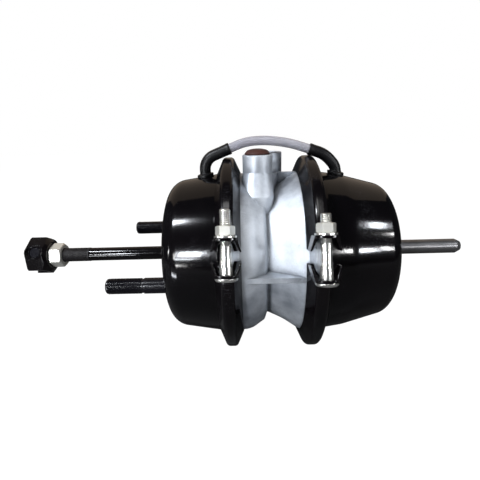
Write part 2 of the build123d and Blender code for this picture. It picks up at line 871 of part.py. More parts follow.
def make_release_nut():
    start = end_face_x + seat_gap + release_washer_sheet + free_gap
    return hexagon(start, start + release_nut_height, release_nut_flats, bolt_r + thread_gap)


# --------------------------------------------------------------------- springs
def coil(x_start, x_end, r_start, r_end, wire_r, turns):
    """A conical coil spring on the chamber's axis; it stands between two faces."""
    height = x_end - x_start - 2 * wire_r
    lean = degrees(atan2(r_end - r_start, height))
    line = Helix(height / turns, height, r_start, cone_angle=lean)
    section = Plane(origin=line @ 0, z_dir=line % 0) * Circle(wire_r)
    wire = sweep(section, path=line, is_frenet=True)
    return Pos(x_start + wire_r, 0, 0) * Rot(0, 90, 0) * wire


def make_service_return_spring():
    start = housing_sheet + stud_plate_sheet + 3 * seat_gap
    return coil(start, push_plate_x - seat_gap, return_large_r, return_small_r, return_wire_r, return_turns)


def make_adapter_return_spring():
    start = spring_floor_x + seat_gap
    end = adapter_plate_x - seat_gap
    return coil(start, end, adapter_large_r, adapter_small_r, adapter_wire_r, adapter_turns)


def make_power_spring():
    start = piston_x() + piston_sheet + seat_gap
    end = end_face_x - housing_sheet - seat_gap
    return coil(start, end, power_large_r, power_small_r, power_wire_r, power_turns)


# ---------------------------------------------------------- vent line and plug
service_vent_rise = (service_vent_x, band_r - 1.0)
tube_bends = [(84.0, band_r + 15.9), (106.0, band_r + 16.7), (130.0, band_r + 13.3)]
spring_vent_bends = [(167.0, band_r + 0.9), (spring_vent_x, band_r - 12.5)]


def vent_hole(x):
    return Pos(x, 0, band_foot_r) * Cylinder(elbow_neck_r + seat_gap, 8 * housing_sheet)


def on_run(start, end, x, lead=0.0):
    """The point of a straight run at a place along X, moved along it by a lead."""
    share = (x - start[0]) / (end[0] - start[0])
    direction = unit(start, end)
    z = start[1] + share * (end[1] - start[1])
    return x + direction[0] * lead, z + direction[1] * lead


def hose_line(points):
    """Straight runs joined by arcs as large as the runs allow."""
    places = [Vector(x, 0, z) for x, z in points]
    radii = []
    for before, here, after in zip(places, places[1:], places[2:]):
        turn = (here - before).get_angle(after - here)
        shorter = min((here - before).length, (after - here).length)
        radii.append(0.45 * shorter / tan(radians(turn / 2)))
    print("hose radii", [round(r, 1) for r in radii])
    return FilletPolyline(*places, radius=radii)


def along(line, radius):
    section = Plane(origin=line @ 0, z_dir=line % 0) * Circle(radius)
    return sweep(section, path=line)


def service_joint(lead=0.0):
    return on_run(service_vent_rise, tube_bends[0], service_joint_x, lead)


def spring_joint(lead=0.0):
    return on_run(tube_bends[-1], spring_vent_bends[0], spring_joint_x, lead)


def elbow(route, corners):
    """A moulded elbow: a grommet and flange at the housing, a socket at the tube.

    The route runs from the socket's mouth to a point inside the housing.
    """
    x, floor_z = route[-1]
    line = hose_line(route)
    hose = along(line, elbow_r)
    block = Pos(x, 0, floor_z) * Cylinder(elbow_flange_r, elbow_block)
    outside = block & space_within(corners, -elbow_flange)
    body = (hose + outside) - space_within(corners, -seat_gap)
    neck = Pos(x, 0, floor_z + 8) * Cylinder(elbow_neck_r, 16)
    bead_space = space_within(corners, housing_sheet + seat_gap)
    bead_block = Pos(x, 0, floor_z + elbow_bead) * Cylinder(elbow_bead_r, 2 * elbow_bead)
    body = body + neck + (bead_block & bead_space)
    mouth = Vector(route[0][0], 0, route[0][1])
    inward = line % 0
    socket = Plane(origin=mouth + inward * (socket_length / 2), z_dir=inward)
    body -= socket * Cylinder(tube_r + seat_gap, socket_length)
    body -= along(line, elbow_bore_r)
    return body


def make_service_elbow():
    floor = (service_vent_x, service_wall(service_vent_x) - housing_sheet - elbow_bead)
    return elbow([service_joint(), service_vent_rise, floor], service_outline())


def make_spring_elbow():
    floor = (spring_vent_x, spring_knee_r - housing_sheet - elbow_bead)
    return elbow([spring_joint()] + spring_vent_bends + [floor], spring_outline())


def make_vent_tube():
    depth = socket_length - free_gap
    route = [service_joint(-depth)] + tube_bends + [spring_joint(depth)]
    return along(hose_line(route), tube_r)


def make_port_plug():
    head = Cylinder(plug_head_r, plug_head, align=(Align.CENTER, Align.CENTER, Align.MIN))
    head = fillet(head.edges().filter_by(GeomType.CIRCLE).sort_by(Axis.Z)[-1], 1.2)
    stem = Pos(0, 0, -plug_stem / 2) * Cylinder(plug_stem_r, plug_stem)
    return Pos(service_port_x, -port_offset, port_top_z + free_gap) * (head + stem)


# ------------------------------------------------------------------- the pieces
pieces = {
    "service_housing": make_service_housing,
    "stud_plate": make_stud_plate,
    "mounting_studs": make_mounting_studs,
    "spring_housing": make_spring_housing,
    "centre_housing": make_centre_housing,
    "guide_bush": make_guide_bush,
    "rod_seals": make_rod_seals,
    "retaining_ring": make_retaining_ring,
    "service_clamp_upper": lambda: about_axis(-service_split, service_band_half()),
    "service_clamp_lower": lambda: about_axis(180 - service_split, service_band_half()),
    "spring_clamp_upper": lambda: about_axis(-spring_split, spring_band_half()),
    "spring_clamp_lower": lambda: about_axis(180 - spring_split, spring_band_half()),
    "clamp_bolts": lambda: at_clamp_bolts(clamp_bolt),
    "clamp_washers": lambda: at_clamp_bolts(clamp_washer),
    "clamp_nuts": lambda: at_clamp_bolts(clamp_nut),
    "service_diaphragm": make_service_diaphragm,
    "spring_diaphragm": make_spring_diaphragm,
    "push_plate": make_push_plate,
    "pushrod": make_pushrod,
    "lock_nut": make_lock_nut,
    "clevis": make_clevis,
    "adapter_pushrod": make_adapter_pushrod,
    "spring_piston": make_spring_piston,
    "release_bolt": make_release_bolt,
    "release_washer": make_release_washer,
    "release_nut": make_release_nut,
    "service_return_spring": make_service_return_spring,
    "adapter_return_spring": make_adapter_return_spring,
    "power_spring": make_power_spring,
    "vent_elbow_service": make_service_elbow,
    "vent_elbow_spring": make_spring_elbow,
    "vent_tube": make_vent_tube,
    "port_plug": make_port_plug,
}

os.makedirs("parts", exist_ok=True)
for name, make in pieces.items():
    export_step(make(), f"parts/{name}.step")
    print(name)
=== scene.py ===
# %% [markdown]
# # A spring brake chamber, dressed over its CAD model
#
# The CAD model gives every rigid piece its place and size. This script loads it as a fixed frame
# and adds what CAD leaves plain: cut threads, coil springs, moulded rubber, the hollow vent tube,
# and a finish for every surface. Everything is in metres. X runs along the chamber from the
# mounting face to the spring end, and Z points up.

from math import atan2, cos, pi, radians, sin, sqrt, tan

import bmesh
import bpy
from mathutils import Matrix, Vector


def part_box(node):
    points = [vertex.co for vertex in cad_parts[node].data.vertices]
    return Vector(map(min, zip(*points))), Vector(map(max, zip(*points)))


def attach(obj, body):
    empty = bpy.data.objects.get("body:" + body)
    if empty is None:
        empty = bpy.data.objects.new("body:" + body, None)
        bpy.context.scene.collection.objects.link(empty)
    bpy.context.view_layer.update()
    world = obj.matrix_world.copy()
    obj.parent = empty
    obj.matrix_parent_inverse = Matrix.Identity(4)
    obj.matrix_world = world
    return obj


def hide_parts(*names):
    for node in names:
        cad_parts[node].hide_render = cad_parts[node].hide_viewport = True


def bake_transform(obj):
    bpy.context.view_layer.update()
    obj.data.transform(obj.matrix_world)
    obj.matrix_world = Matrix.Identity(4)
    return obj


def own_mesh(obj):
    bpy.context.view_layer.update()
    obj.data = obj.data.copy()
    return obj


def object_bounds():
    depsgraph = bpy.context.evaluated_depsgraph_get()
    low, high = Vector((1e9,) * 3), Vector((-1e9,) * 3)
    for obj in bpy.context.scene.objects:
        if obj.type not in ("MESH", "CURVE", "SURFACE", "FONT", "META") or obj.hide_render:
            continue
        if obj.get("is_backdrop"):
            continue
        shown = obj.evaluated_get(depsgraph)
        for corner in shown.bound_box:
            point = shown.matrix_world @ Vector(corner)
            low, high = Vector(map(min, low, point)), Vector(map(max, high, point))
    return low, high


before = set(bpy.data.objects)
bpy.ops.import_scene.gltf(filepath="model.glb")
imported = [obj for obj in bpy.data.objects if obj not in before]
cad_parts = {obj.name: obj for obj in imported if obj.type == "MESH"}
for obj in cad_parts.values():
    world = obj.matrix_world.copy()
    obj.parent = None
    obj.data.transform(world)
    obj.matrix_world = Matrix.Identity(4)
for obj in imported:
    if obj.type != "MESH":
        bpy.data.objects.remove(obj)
cad_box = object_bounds()
scene = bpy.context.scene
MM = 0.001
print("pieces from CAD:", len(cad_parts))

# %% [markdown]
# ## The camera
#
# A view can be set by eye with a tracking constraint, or written down as a place and three turns.
# The turns are used here, so each number means one simple movement of the head. The focal length
# is given in pixels of a 480-pixel frame and turned into millimetres of a 36 mm sensor.

# %% Camera
CAMERA_PLACE = Vector((0.0840, -0.3796, 0.1334))
CAMERA_YAW = -0.0234
CAMERA_PITCH = -0.3074
CAMERA_ROLL = -0.0316
FRAME_WIDTH = 480
FOCAL_PIXELS = 350.6
SENSOR = 36.0


def camera_axes(yaw, pitch, roll):
    """Right, up and forward of a camera that first looks along +Y."""
    forward = Vector((sin(yaw) * cos(pitch), cos(yaw) * cos(pitch), sin(pitch)))
    right = forward.cross(Vector((0, 0, 1))).normalized()
    up = right.cross(forward)
    rolled_right = right * cos(roll) + up * sin(roll)
    rolled_up = up * cos(roll) - right * sin(roll)
    return rolled_right, rolled_up, forward


camera = bpy.data.objects.new("camera", bpy.data.cameras.new("camera"))
scene.collection.objects.link(camera)
camera.data.sensor_width = SENSOR
camera.data.lens = SENSOR * FOCAL_PIXELS / FRAME_WIDTH
camera.data.clip_start = 0.01
right, up, forward = camera_axes(CAMERA_YAW, CAMERA_PITCH, CAMERA_ROLL)
turn = Matrix((right, up, -forward)).transposed().to_4x4()
camera.matrix_world = Matrix.Translation(CAMERA_PLACE) @ turn
scene.camera = camera
scene.view_settings.view_transform = "Standard"
print("lens, mm:", round(camera.data.lens, 1))

# %% [markdown]
# ## Light for gloss black next to bright metal
#
# Black paint shows almost nothing of its own: what is seen on it is the room. One big soft light
# would turn it grey, so several small bright boxes are used instead. Each draws its own clean
# shape on the paint, and together they light the aluminium. The strength here is how bright a box
# looks. Blender wants watts, which are that brightness times pi times the area.

# %% Studio lights
CHAMBER_MIDDLE = Vector((0.090, 0.0, 0.010))
ROD_MIDDLE = Vector((-0.050, 0.0, 0.0))
COOL = (0.90, 0.94, 1.0)
WARM = (1.0, 0.80, 0.62)
WHITE = (1.0, 1.0, 1.0)


def add_box(name, place, size, brightness, colour=WHITE, aim=CHAMBER_MIDDLE, slant=0.0):
    """A rectangular lamp, width by height, that faces its aim and leans by a slant in degrees."""
    lamp = bpy.data.lights.new(name, "AREA")
    lamp.shape = "RECTANGLE"
    lamp.size, lamp.size_y = size
    lamp.energy = brightness * pi * lamp.size * lamp.size_y
    lamp.color = colour
    box = bpy.data.objects.new(name, lamp)
    scene.collection.objects.link(box)
    turn = (aim - Vector(place)).to_track_quat("-Z", "Y").to_matrix().to_4x4()
    box.matrix_world = Matrix.Translation(place) @ turn @ Matrix.Rotation(radians(slant), 4, "Z")
    box.visible_camera = False


# the boxes whose shapes are seen on the service housing and its rod
add_box("box_left_high", (-0.527, -0.357, 0.816), (0.30, 0.09), 105, COOL, slant=38)
add_box("box_left_front", (-0.42, -0.95, 0.27), (0.07, 0.12), 120, COOL)
add_box("bar_for_rod", (-0.47, -0.90, 0.145), (0.19, 0.022), 85, COOL, ROD_MIDDLE)
add_box("bar_at_floor", (-0.21, -0.31, -0.088), (0.14, 0.03), 26, COOL, ROD_MIDDLE)
add_box("lamp_left_side", (-0.93, -0.39, 0.15), (0.05, 0.08), 90)
add_box("lamp_left_foot", (-0.47, -0.96, -0.01), (0.05, 0.04), 60)
add_box("lamp_for_nut", (-0.62, -0.88, 0.20), (0.13, 0.13), 24)
# the boxes whose shapes are seen on the spring housing
add_box("box_right_high", (0.957, -0.374, 0.627), (0.028, 0.14), 110, COOL, slant=-45)
add_box("box_right_side", (1.02, -0.457, 0.457), (0.07, 0.06), 90)
add_box("box_right_front", (0.95, -0.72, 0.19), (0.07, 0.07), 120, COOL)
add_box("lamp_right_end", (1.01, -0.66, 0.20), (0.02, 0.08), 110)
add_box("lamp_right_near", (0.72, -0.90, 0.24), (0.03, 0.08), 110)
# large and weak: they give the aluminium its form and the paint a faint ceiling
add_box("panel_over", (0.09, 1.20, 1.10), (3.2, 2.2), 0.34, WARM)
add_box("panel_front", (0.12, -0.60, 1.25), (0.55, 0.45), 4.2)

# %% [markdown]
# ## A white room that is dim to the paint
#
# The picture wants plain white behind the chamber, yet a white room would show in the paint. A
# Light Path node tells camera rays from the rest: the camera sees white, while reflections see a
# dim room. The floor is built the same way: it glows white to the camera, and is a dark grey card
# to everything else.

# %% World and floor
ROOM_GLOW = 0.035
FLOOR_LEVEL = cad_box[0].z - 1.0 * MM
FLOOR_SIZE = 8.0
FLOOR_GREYS = (0.085, 0.100)
FLOOR_GLOW = 1.0


def feed(socket, value):
    """Link an input to the output that feeds it, or set a plain value on it."""
    if isinstance(value, bpy.types.NodeSocket):
        socket.id_data.links.new(value, socket)
    else:
        socket.default_value = value


def set_inputs(node, values):
    """Feed a node's inputs by their labels; an underscore stands for a space."""
    for label, value in values.items():
        feed(node.inputs[label.replace("_", " ")], value)


def new_node(tree, kind, **values):
    node = tree.nodes.new("ShaderNode" + kind)
    set_inputs(node, values)
    return node


def split_for_camera(tree, seen, unseen, output):
    """The camera sees one shader; reflections and bounced light see the other."""
    path = new_node(tree, "LightPath")
    mix = new_node(tree, "MixShader", Fac=path.outputs["Is Camera Ray"])
    feed(mix.inputs[1], unseen)
    feed(mix.inputs[2], seen)
    feed(tree.nodes[output].inputs["Surface"], mix.outputs["Shader"])


def floor_finish():
    finish = bpy.data.materials.new("pale_floor")
    finish.use_nodes = True
    tree = finish.node_tree
    grain = new_node(tree, "TexNoise", Scale=60.0)
    tone = new_node(tree, "ValToRGB", Fac=grain.outputs["Fac"])
    for element, grey in zip(tone.color_ramp.elements, FLOOR_GREYS):
        element.color = (grey, grey, grey, 1.0)
    card = tree.nodes["Principled BSDF"]
    set_inputs(card, {"Base Color": tone.outputs["Color"], "Roughness": 0.9, "Specular IOR Level": 0.0})
    glow = new_node(tree, "Emission", Strength=FLOOR_GLOW)
    both = new_node(tree, "AddShader")
    feed(both.inputs[0], card.outputs["BSDF"])
    feed(both.inputs[1], glow.outputs["Emission"])
    split_for_camera(tree, both.outputs["Shader"], card.outputs["BSDF"], "Material Output")
    return finish


scene.world = bpy.data.worlds.new("white_room")
scene.world.use_nodes = True
tree = scene.world.node_tree
dim = tree.nodes["Background"]
set_inputs(dim, {"Color": (0.80, 0.88, 1.0, 1.0), "Strength": ROOM_GLOW})
white = new_node(tree, "Background", Color=(1.0, 1.0, 1.0, 1.0))
split_for_camera(tree, white.outputs["Background"], dim.outputs["Background"], "World Output")

bpy.ops.mesh.primitive_plane_add(size=FLOOR_SIZE, location=(0, 0, FLOOR_LEVEL))
floor = bpy.context.object
floor.name = "floor"
floor.data.materials.append(floor_finish())
floor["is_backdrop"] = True
print("floor at z, mm:", round(floor.location.z / MM, 1))

# %% [markdown]
# ## Effects that several finishes share
#
# Paint, casting, plating and rubber all need the same few things: a slow drift of tone, a fine
# grain, and marks from handling. Writing them into every material would repeat long node trees.
# They are made once as node groups, and each finish sets its own scale and strength. The groups
# give only masks and heights; the shader stays in the finish.

# %% Node helpers
def new_group(name, inputs, outputs):
    """An empty shader group with float inputs, as label and value, and float outputs."""
    group = bpy.data.node_groups.new(name, "ShaderNodeTree")
    for label, value in inputs:
        socket = group.interface.new_socket(name=label, in_out="INPUT", socket_type="NodeSocketFloat")
        socket.default_value = value
    for label in outputs:
        group.interface.new_socket(name=label, in_out="OUTPUT", socket_type="NodeSocketFloat")
    start = group.nodes.new("NodeGroupInput")
    end = group.nodes.new("NodeGroupOutput")
    return group, start, end


def math_node(tree, operation, *values):
    node = new_node(tree, "Math")
    node.operation = operation
    for socket, value in zip(node.inputs, values):
        feed(socket, value)
    return node.outputs["Value"]


def noise_node(tree, scale, detail=3.0, roughness=0.55, where=None):
    """Noise in the part's own metres; the scale may come from a group's input."""
    where = where or new_node(tree, "TexCoord").outputs["Object"]
    node = new_node(tree, "TexNoise", Vector=where, Scale=scale, Detail=detail, Roughness=roughness)
    return node.outputs["Fac"]


def spread(tree, value, low, high, new_low=0.0, new_high=1.0):
    """Stretch a value from one range to another, cut off at both ends."""
    node = new_node(tree, "MapRange", Value=value, From_Min=low, From_Max=high)
    set_inputs(node, {"To Min": new_low, "To Max": new_high})
    return node.outputs["Result"]


print("node helpers ready")

# %% Shared groups
def surface_drift():
    """Slow changes of tone, and a grain that is used for height and roughness."""
    group, start, end = new_group(
        "surface_drift",
        [("Patch Scale", 30.0), ("Grain Scale", 900.0)],
        ["Patches", "Grain", "Height"],
    )
    patches = noise_node(group, start.outputs["Patch Scale"], detail=4.0)
    grain = noise_node(group, start.outputs["Grain Scale"], detail=2.0)
    feed(end.inputs["Patches"], spread(group, patches, 0.32, 0.68))
    feed(end.inputs["Grain"], spread(group, grain, 0.30, 0.70))
    swell = math_node(group, "MULTIPLY", patches, 0.5)
    feed(end.inputs["Height"], math_node(group, "ADD", swell, grain))
    return group


def handling_marks():
    """Short scratches in two directions and small nicks, as one mask."""
    group, start, end = new_group("handling_marks", [("Scale", 60.0), ("Amount", 0.5)], ["Marks"])
    scale = start.outputs["Scale"]
    coords = new_node(group, "TexCoord").outputs["Object"]
    place = noise_node(group, math_node(group, "MULTIPLY", scale, 0.5), 1.0, 0.5, coords)
    somewhere = spread(group, place, 0.56, 0.66)
    spots = new_node(group, "TexVoronoi", Scale=scale)
    nick = spread(group, spots.outputs["Distance"], 0.03, 0.09, 1.0, 0.0)
    chosen = new_node(group, "SeparateColor", Color=spots.outputs["Color"])
    marks = math_node(group, "MULTIPLY", nick, spread(group, chosen.outputs["Red"], 0.78, 0.80))
    for number, stretch in enumerate(((1.0, 14.0, 3.0), (12.0, 1.0, 9.0))):
        lay = new_node(group, "Mapping", Vector=coords, Scale=stretch)
        feed(lay.inputs["Rotation"], (0.4 + number, 0.3, 0.9 * number))
        lines = noise_node(group, scale, 2.0, 0.5, lay.outputs["Vector"])
        ridge = math_node(group, "ABSOLUTE", math_node(group, "SUBTRACT", lines, 0.5))
        here = math_node(group, "MULTIPLY", spread(group, ridge, 0.0, 0.006, 1.0, 0.0), somewhere)
        marks = math_node(group, "MAXIMUM", marks, here)
    feed(end.inputs["Marks"], math_node(group, "MULTIPLY", marks, start.outputs["Amount"]))
    return group


def painted_corner_shade():
    """A mask of painted shade that is 1 in tight corners, where ambient occlusion finds little open
    space.
    """
    group, start, end = new_group("painted_corner_shade", [("Reach", 0.008)], ["Crevice"])
    inside = new_node(group, "AmbientOcclusion", Distance=start.outputs["Reach"])
    inside.samples = 4
    feed(end.inputs["Crevice"], spread(group, inside.outputs["AO"], 0.45, 0.95, 1.0, 0.0))
    return group


DRIFT = surface_drift()
MARKS = handling_marks()
PAINTED_CORNER_SHADE = painted_corner_shade()
print("groups:", [g.name for g in (DRIFT, MARKS, PAINTED_CORNER_SHADE)])

# %% [markdown]
# ## Building a finish
#
# Every finish below starts from the same bench, a Principled shader with the groups at hand. So
# each one reads as what it is: which two colours drift into each other, how rough it is, and how
# deep its grain goes.
# A Bevel node rounds the normal at sharp edges, which is how thin sheet catches a line of light.

# %% The finishing bench
class Bench:
    """One material with the shared effects at hand."""

    def __init__(self, name, patch_scale, grain_scale, marks_scale=60.0, marks=0.0, crevice=0.0):
        self.material = bpy.data.materials.new(name)
        self.material.use_nodes = True
        self.tree = self.material.node_tree
        self.shader = self.tree.nodes["Principled BSDF"]
        drift = self.place(DRIFT, {"Patch Scale": patch_scale, "Grain Scale": grain_scale})
        self.patches = drift.outputs["Patches"]
        self.grain = drift.outputs["Grain"]
        self.height = drift.outputs["Height"]
        if marks:
            self.marks = self.place(MARKS, {"Scale": marks_scale, "Amount": marks}).outputs["Marks"]
        # the corner mask is painted shade: 1 in tight corners, found by ambient occlusion
        if crevice:
            self.crevice = self.place(PAINTED_CORNER_SHADE, {"Reach": crevice}).outputs["Crevice"]

    def place(self, group, values):
        node = new_node(self.tree, "Group")
        node.node_tree = group
        set_inputs(node, values)
        return node

    def set(self, **values):
        set_inputs(self.shader, values)

    def mix(self, mask, first, second):
        """Mix two colours, each an RGB tuple or a socket, by a mask."""
        node = new_node(self.tree, "Mix")
        node.data_type = "RGBA"
        feed(node.inputs["Factor"], mask)
        for label, colour in (("A", first), ("B", second)):
            feed(node.inputs[label], (*colour, 1.0) if isinstance(colour, tuple) else colour)
        return node.outputs["Result"]

    def colour(self, socket):
        self.set(Base_Color=socket)

    def drift(self, first, second, marked):
        """Two colours that drift into each other, under marks of a third."""
        self.colour(self.mix(self.marks, self.mix(self.patches, first, second), marked))

    def roughness(self, low, high, source=None):
        self.set(Roughness=spread(self.tree, source or self.grain, 0.0, 1.0, low, high))

    def relief(self, height, depth, edge=0.0):
        """Bump to a depth in metres, over an edge rounding in metres."""
        bump = new_node(self.tree, "Bump", Distance=depth, Height=height)
        if edge:
            rounding = new_node(self.tree, "Bevel", Radius=edge)
            rounding.samples = 6
            feed(bump.inputs["Normal"], rounding.outputs["Normal"])
        self.set(Normal=bump.outputs["Normal"])


print("finishing bench ready")

# %% [markdown]
# ## Stove-enamelled steel
#
# The housings and clamp bands are pressed steel under a thick gloss black. Fresh enamel is never
# flat: it flows into a faint orange peel that bends the edges of reflections, and it gathers fine
# dust. A low specular level keeps it truly black, so that only the bright boxes show in it.

# %% Enamel
def enamel(name, black, haze, roughness, peel, edge=0.0):
    bench = Bench(name, patch_scale=18.0, grain_scale=420.0, marks_scale=48.0, marks=0.35)
    bench.drift(black, haze, (0.10, 0.10, 0.11))
    bench.roughness(roughness, roughness + 0.05, bench.patches)
    bench.set(Specular_IOR_Level=0.36)
    bench.relief(bench.height, peel, edge)
    return bench.material


HOUSING_BLACK = enamel(
    "housing_black", (0.0014, 0.0012, 0.0016), (0.0030, 0.0024, 0.0030), 0.075, 2.0e-5
)
BAND_BLACK = enamel(
    "band_black", (0.0016, 0.0013, 0.0017), (0.0038, 0.0028, 0.0034), 0.11, 2.4e-5, 1.0 * MM
)
ROD_BLACK = enamel(
    "rod_black", (0.0020, 0.0016, 0.0020), (0.0042, 0.0032, 0.0036), 0.10, 0.3e-5, 0.8 * MM
)
print("enamels:", [m.name for m in (HOUSING_BLACK, BAND_BLACK, ROD_BLACK)])

# %% [markdown]
# ## Phosphated steel
#
# The studs and the threaded end of the pushrod are dipped, not enamelled. The film is thin, a
# little rough and slightly blue, and it wears bright in small marks. The springs have it too.

# %% Phosphate
def phosphate(name, black, worn, roughness, marks=0.6):
    bench = Bench(name, patch_scale=40.0, grain_scale=1500.0, marks_scale=110.0, marks=marks)
    bench.drift(black, worn, (0.22, 0.22, 0.24))
    bench.roughness(roughness, roughness + 0.14)
    bench.set(Specular_IOR_Level=0.40)
    bench.relief(bench.grain, 2e-5, 0.3 * MM)
    return bench.material


STUD_BLACK = phosphate("stud_black", (0.0020, 0.0020, 0.0040), (0.0045, 0.0040, 0.0065), 0.17, 0.12)
THREAD_BLACK = phosphate("thread_black", (0.0060, 0.0050, 0.0060), (0.0110, 0.0090, 0.0095), 0.42)
SPRING_STEEL = phosphate("spring_steel", (0.030, 0.031, 0.036), (0.060, 0.060, 0.066), 0.38)
print("phosphates:", [m.name for m in (STUD_BLACK, THREAD_BLACK, SPRING_STEEL)])

# %% [markdown]
# ## Cast aluminium
#
# The centre housing is die cast and then blasted. Up close it has a fine grain; from further away
# it is blotched light and grey where the metal flowed and cooled, with small scratches from
# handling. Its corners are darkened with painted shade. Its metal value stays below one, because an
# oxidised, blasted skin scatters much of the light instead of mirroring it.

# %% Die casting
def die_casting(name):
    bench = Bench(name, 34.0, 1400.0, marks_scale=42.0, marks=0.9, crevice=5 * MM)
    light = (0.79, 0.83, 0.88)
    grey = (0.30, 0.33, 0.38)
    clouds = noise_node(bench.tree, 15.0, detail=5.0, roughness=0.62)
    cloud_mask = spread(bench.tree, clouds, 0.40, 0.60)
    tone = bench.mix(cloud_mask, grey, light)
    tone = bench.mix(spread(bench.tree, bench.patches, 0.0, 1.0, 0.0, 0.45), tone, light)
    tone = bench.mix(spread(bench.tree, bench.grain, 0.0, 1.0, 0.0, 0.22), tone, grey)
    tone = bench.mix(bench.marks, tone, (0.22, 0.23, 0.25))
    # painted shade: the tone goes towards a dark grey in tight corners, by the ambient occlusion mask
    shade = spread(bench.tree, bench.crevice, 0.0, 1.0, 0.0, 0.85)
    bench.colour(bench.mix(shade, tone, (0.12, 0.13, 0.15)))
    bench.roughness(0.40, 0.56, cloud_mask)
    bench.set(Metallic=0.55, Specular_IOR_Level=0.5)
    waves = math_node(bench.tree, "MULTIPLY", clouds, 6.0)
    bench.relief(math_node(bench.tree, "ADD", waves, bench.height), 6e-5, 0.5 * MM)
    return bench.material


DIE_CAST = die_casting("die_cast")
print("casting:", DIE_CAST.name)

# %% [markdown]
# ## Plated and plain steel
#
# Clamp bolts are bright zinc, and their nuts and the lock nut have a yellower passivated skin.
# Plating copies the machining below it, so it mirrors sharply in some places and softly in
# others. The release bolt and the pieces inside are darker, and only oiled.

# %% Plating and bare metal
def plated(name, bright, stained, roughness):
    bench = Bench(name, patch_scale=120.0, grain_scale=2200.0, marks_scale=160.0, marks=0.5)
    stain = spread(bench.tree, bench.patches, 0.0, 1.0, 0.0, 0.5)
    tone = bench.mix(stain, bright, stained)
    bench.colour(bench.mix(bench.marks, tone, (0.20, 0.19, 0.17)))
    bench.roughness(roughness, roughness + 0.16)
    bench.set(Metallic=0.92)
    bench.relief(bench.grain, 1.2e-5, 0.35 * MM)
    return bench.material


ZINC = plated("zinc", (0.90, 0.89, 0.85), (0.55, 0.54, 0.48), 0.16)
ZINC_YELLOW = plated("zinc_yellow", (0.98, 0.97, 0.91), (0.86, 0.84, 0.74), 0.38)
STEEL_DARK = plated("steel_dark", (0.27, 0.265, 0.27), (0.16, 0.16, 0.165), 0.26)
STEEL_PLAIN = plated("steel_plain", (0.58, 0.58, 0.59), (0.36, 0.36, 0.37), 0.26)
print("metals:", [m.name for m in (ZINC, ZINC_YELLOW, STEEL_DARK, STEEL_PLAIN)])

# %% [markdown]
# ## Rubber and plastics
#
# The elbows and diaphragms are moulded rubber, the plug and bush are moulded plastic. None of them
# is metal, and all are rougher than the enamel. The vent tube is a soft, slightly clear nylon: it
# lets some light through, so it is lighter in the middle than along its edges.

# %% Moulded pieces
def moulded(name, dark, light, roughness, grain_depth, gloss=0.3):
    bench = Bench(name, patch_scale=55.0, grain_scale=1100.0, marks_scale=90.0, marks=0.25)
    bench.drift(dark, light, (0.30, 0.29, 0.28))
    bench.roughness(roughness, roughness + 0.12)
    bench.set(Specular_IOR_Level=gloss)
    bench.relief(bench.height, grain_depth, 0.5 * MM)
    return bench.material


def clear_nylon(name):
    bench = Bench(name, patch_scale=40.0, grain_scale=700.0)
    bench.colour(bench.mix(bench.patches, (0.62, 0.61, 0.67), (0.78, 0.77, 0.82)))
    bench.roughness(0.16, 0.26)
    bench.set(Transmission_Weight=0.62, IOR=1.45, Specular_IOR_Level=0.4)
    bench.relief(bench.height, 1e-5)
    return bench.material


RUBBER_BLACK = moulded("rubber_black", (0.0022, 0.0020, 0.0026), (0.0042, 0.0040, 0.0048), 0.36, 3e-5)
DIAPHRAGM = moulded("diaphragm", (0.020, 0.020, 0.020), (0.034, 0.033, 0.032), 0.62, 6e-5)
PLUG_BROWN = moulded("plug_brown", (0.036, 0.014, 0.012), (0.060, 0.022, 0.017), 0.46, 3e-5)
BUSH_WHITE = moulded("bush_white", (0.66, 0.65, 0.60), (0.74, 0.73, 0.69), 0.42, 2e-5, 0.45)
TUBE_GREY = clear_nylon("tube_grey")
print("moulded:", [m.name for m in (RUBBER_BLACK, DIAPHRAGM, PLUG_BROWN, BUSH_WHITE, TUBE_GREY)])

# %% [markdown]
# ## Dressing the CAD pieces
#
# Pieces whose shape is already right stay as they are and only change their material. Each CAD
# piece carries the name of its finish, so one loop dresses them all and reports what it used.

# %% Finishes on the frame
def plain_name(material):
    """The name of a finish, without the number that Blender adds to a name already in use."""
    return material.name.split(".")[0]


FINISHES = {
    plain_name(finish): finish
    for finish in (
        HOUSING_BLACK, BAND_BLACK, ROD_BLACK, STUD_BLACK, SPRING_STEEL, DIE_CAST, ZINC, ZINC_YELLOW,
        STEEL_DARK, STEEL_PLAIN, RUBBER_BLACK, DIAPHRAGM, PLUG_BROWN, BUSH_WHITE, TUBE_GREY,
    )
}

for name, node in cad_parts.items():
    slot = node.material_slots[0]
    slot.material = FINISHES[plain_name(slot.material)]
    print(name, "is", plain_name(slot.material))

# %% [markdown]
# ## Making meshes
#
# Most of the added pieces are turned: a bolt, a stud, a nut, a diaphragm. Blender's Screw modifier
# could spin a profile, but a thread is not a plain profile, because it climbs as it goes round.
# So rings of vertices are written directly. Each ring asks a function how far the surface stands
# out at that place and angle, and a thread is then only a wave that moves along with the angle.

# %% Turned meshes
class Shape:
    """Vertices and faces that are still free of any object."""

    def __init__(self, vertices=()):
        self.vertices = list(vertices)
        self.faces = []

    def bridge(self, a, b):
        """Faces between two rings; a ring of one vertex is a tip."""
        count = max(len(a), len(b))
        for k in range(count):
            after = (k + 1) % count
            if len(a) == 1:
                self.faces.append((a[0], b[after], b[k]))
            elif len(b) == 1:
                self.faces.append((a[k], a[after], b[0]))
            else:
                self.faces.append((a[k], a[after], b[after], b[k]))

    def placed(self, matrix):
        moved = Shape(tuple(matrix @ Vector(v)) for v in self.vertices)
        moved.faces = self.faces
        return moved


def skin_over(rings, closed=False):
    """A shape whose skin runs over rings of points; a closed one comes back to its first ring."""
    shape = Shape(point for ring in rings for point in ring)
    numbers = iter(range(len(shape.vertices)))
    rows = [[next(numbers) for point in ring] for ring in rings]
    for a, b in zip(rows, rows[1:] + rows[:1] if closed else rows[1:]):
        shape.bridge(a, b)
    return shape


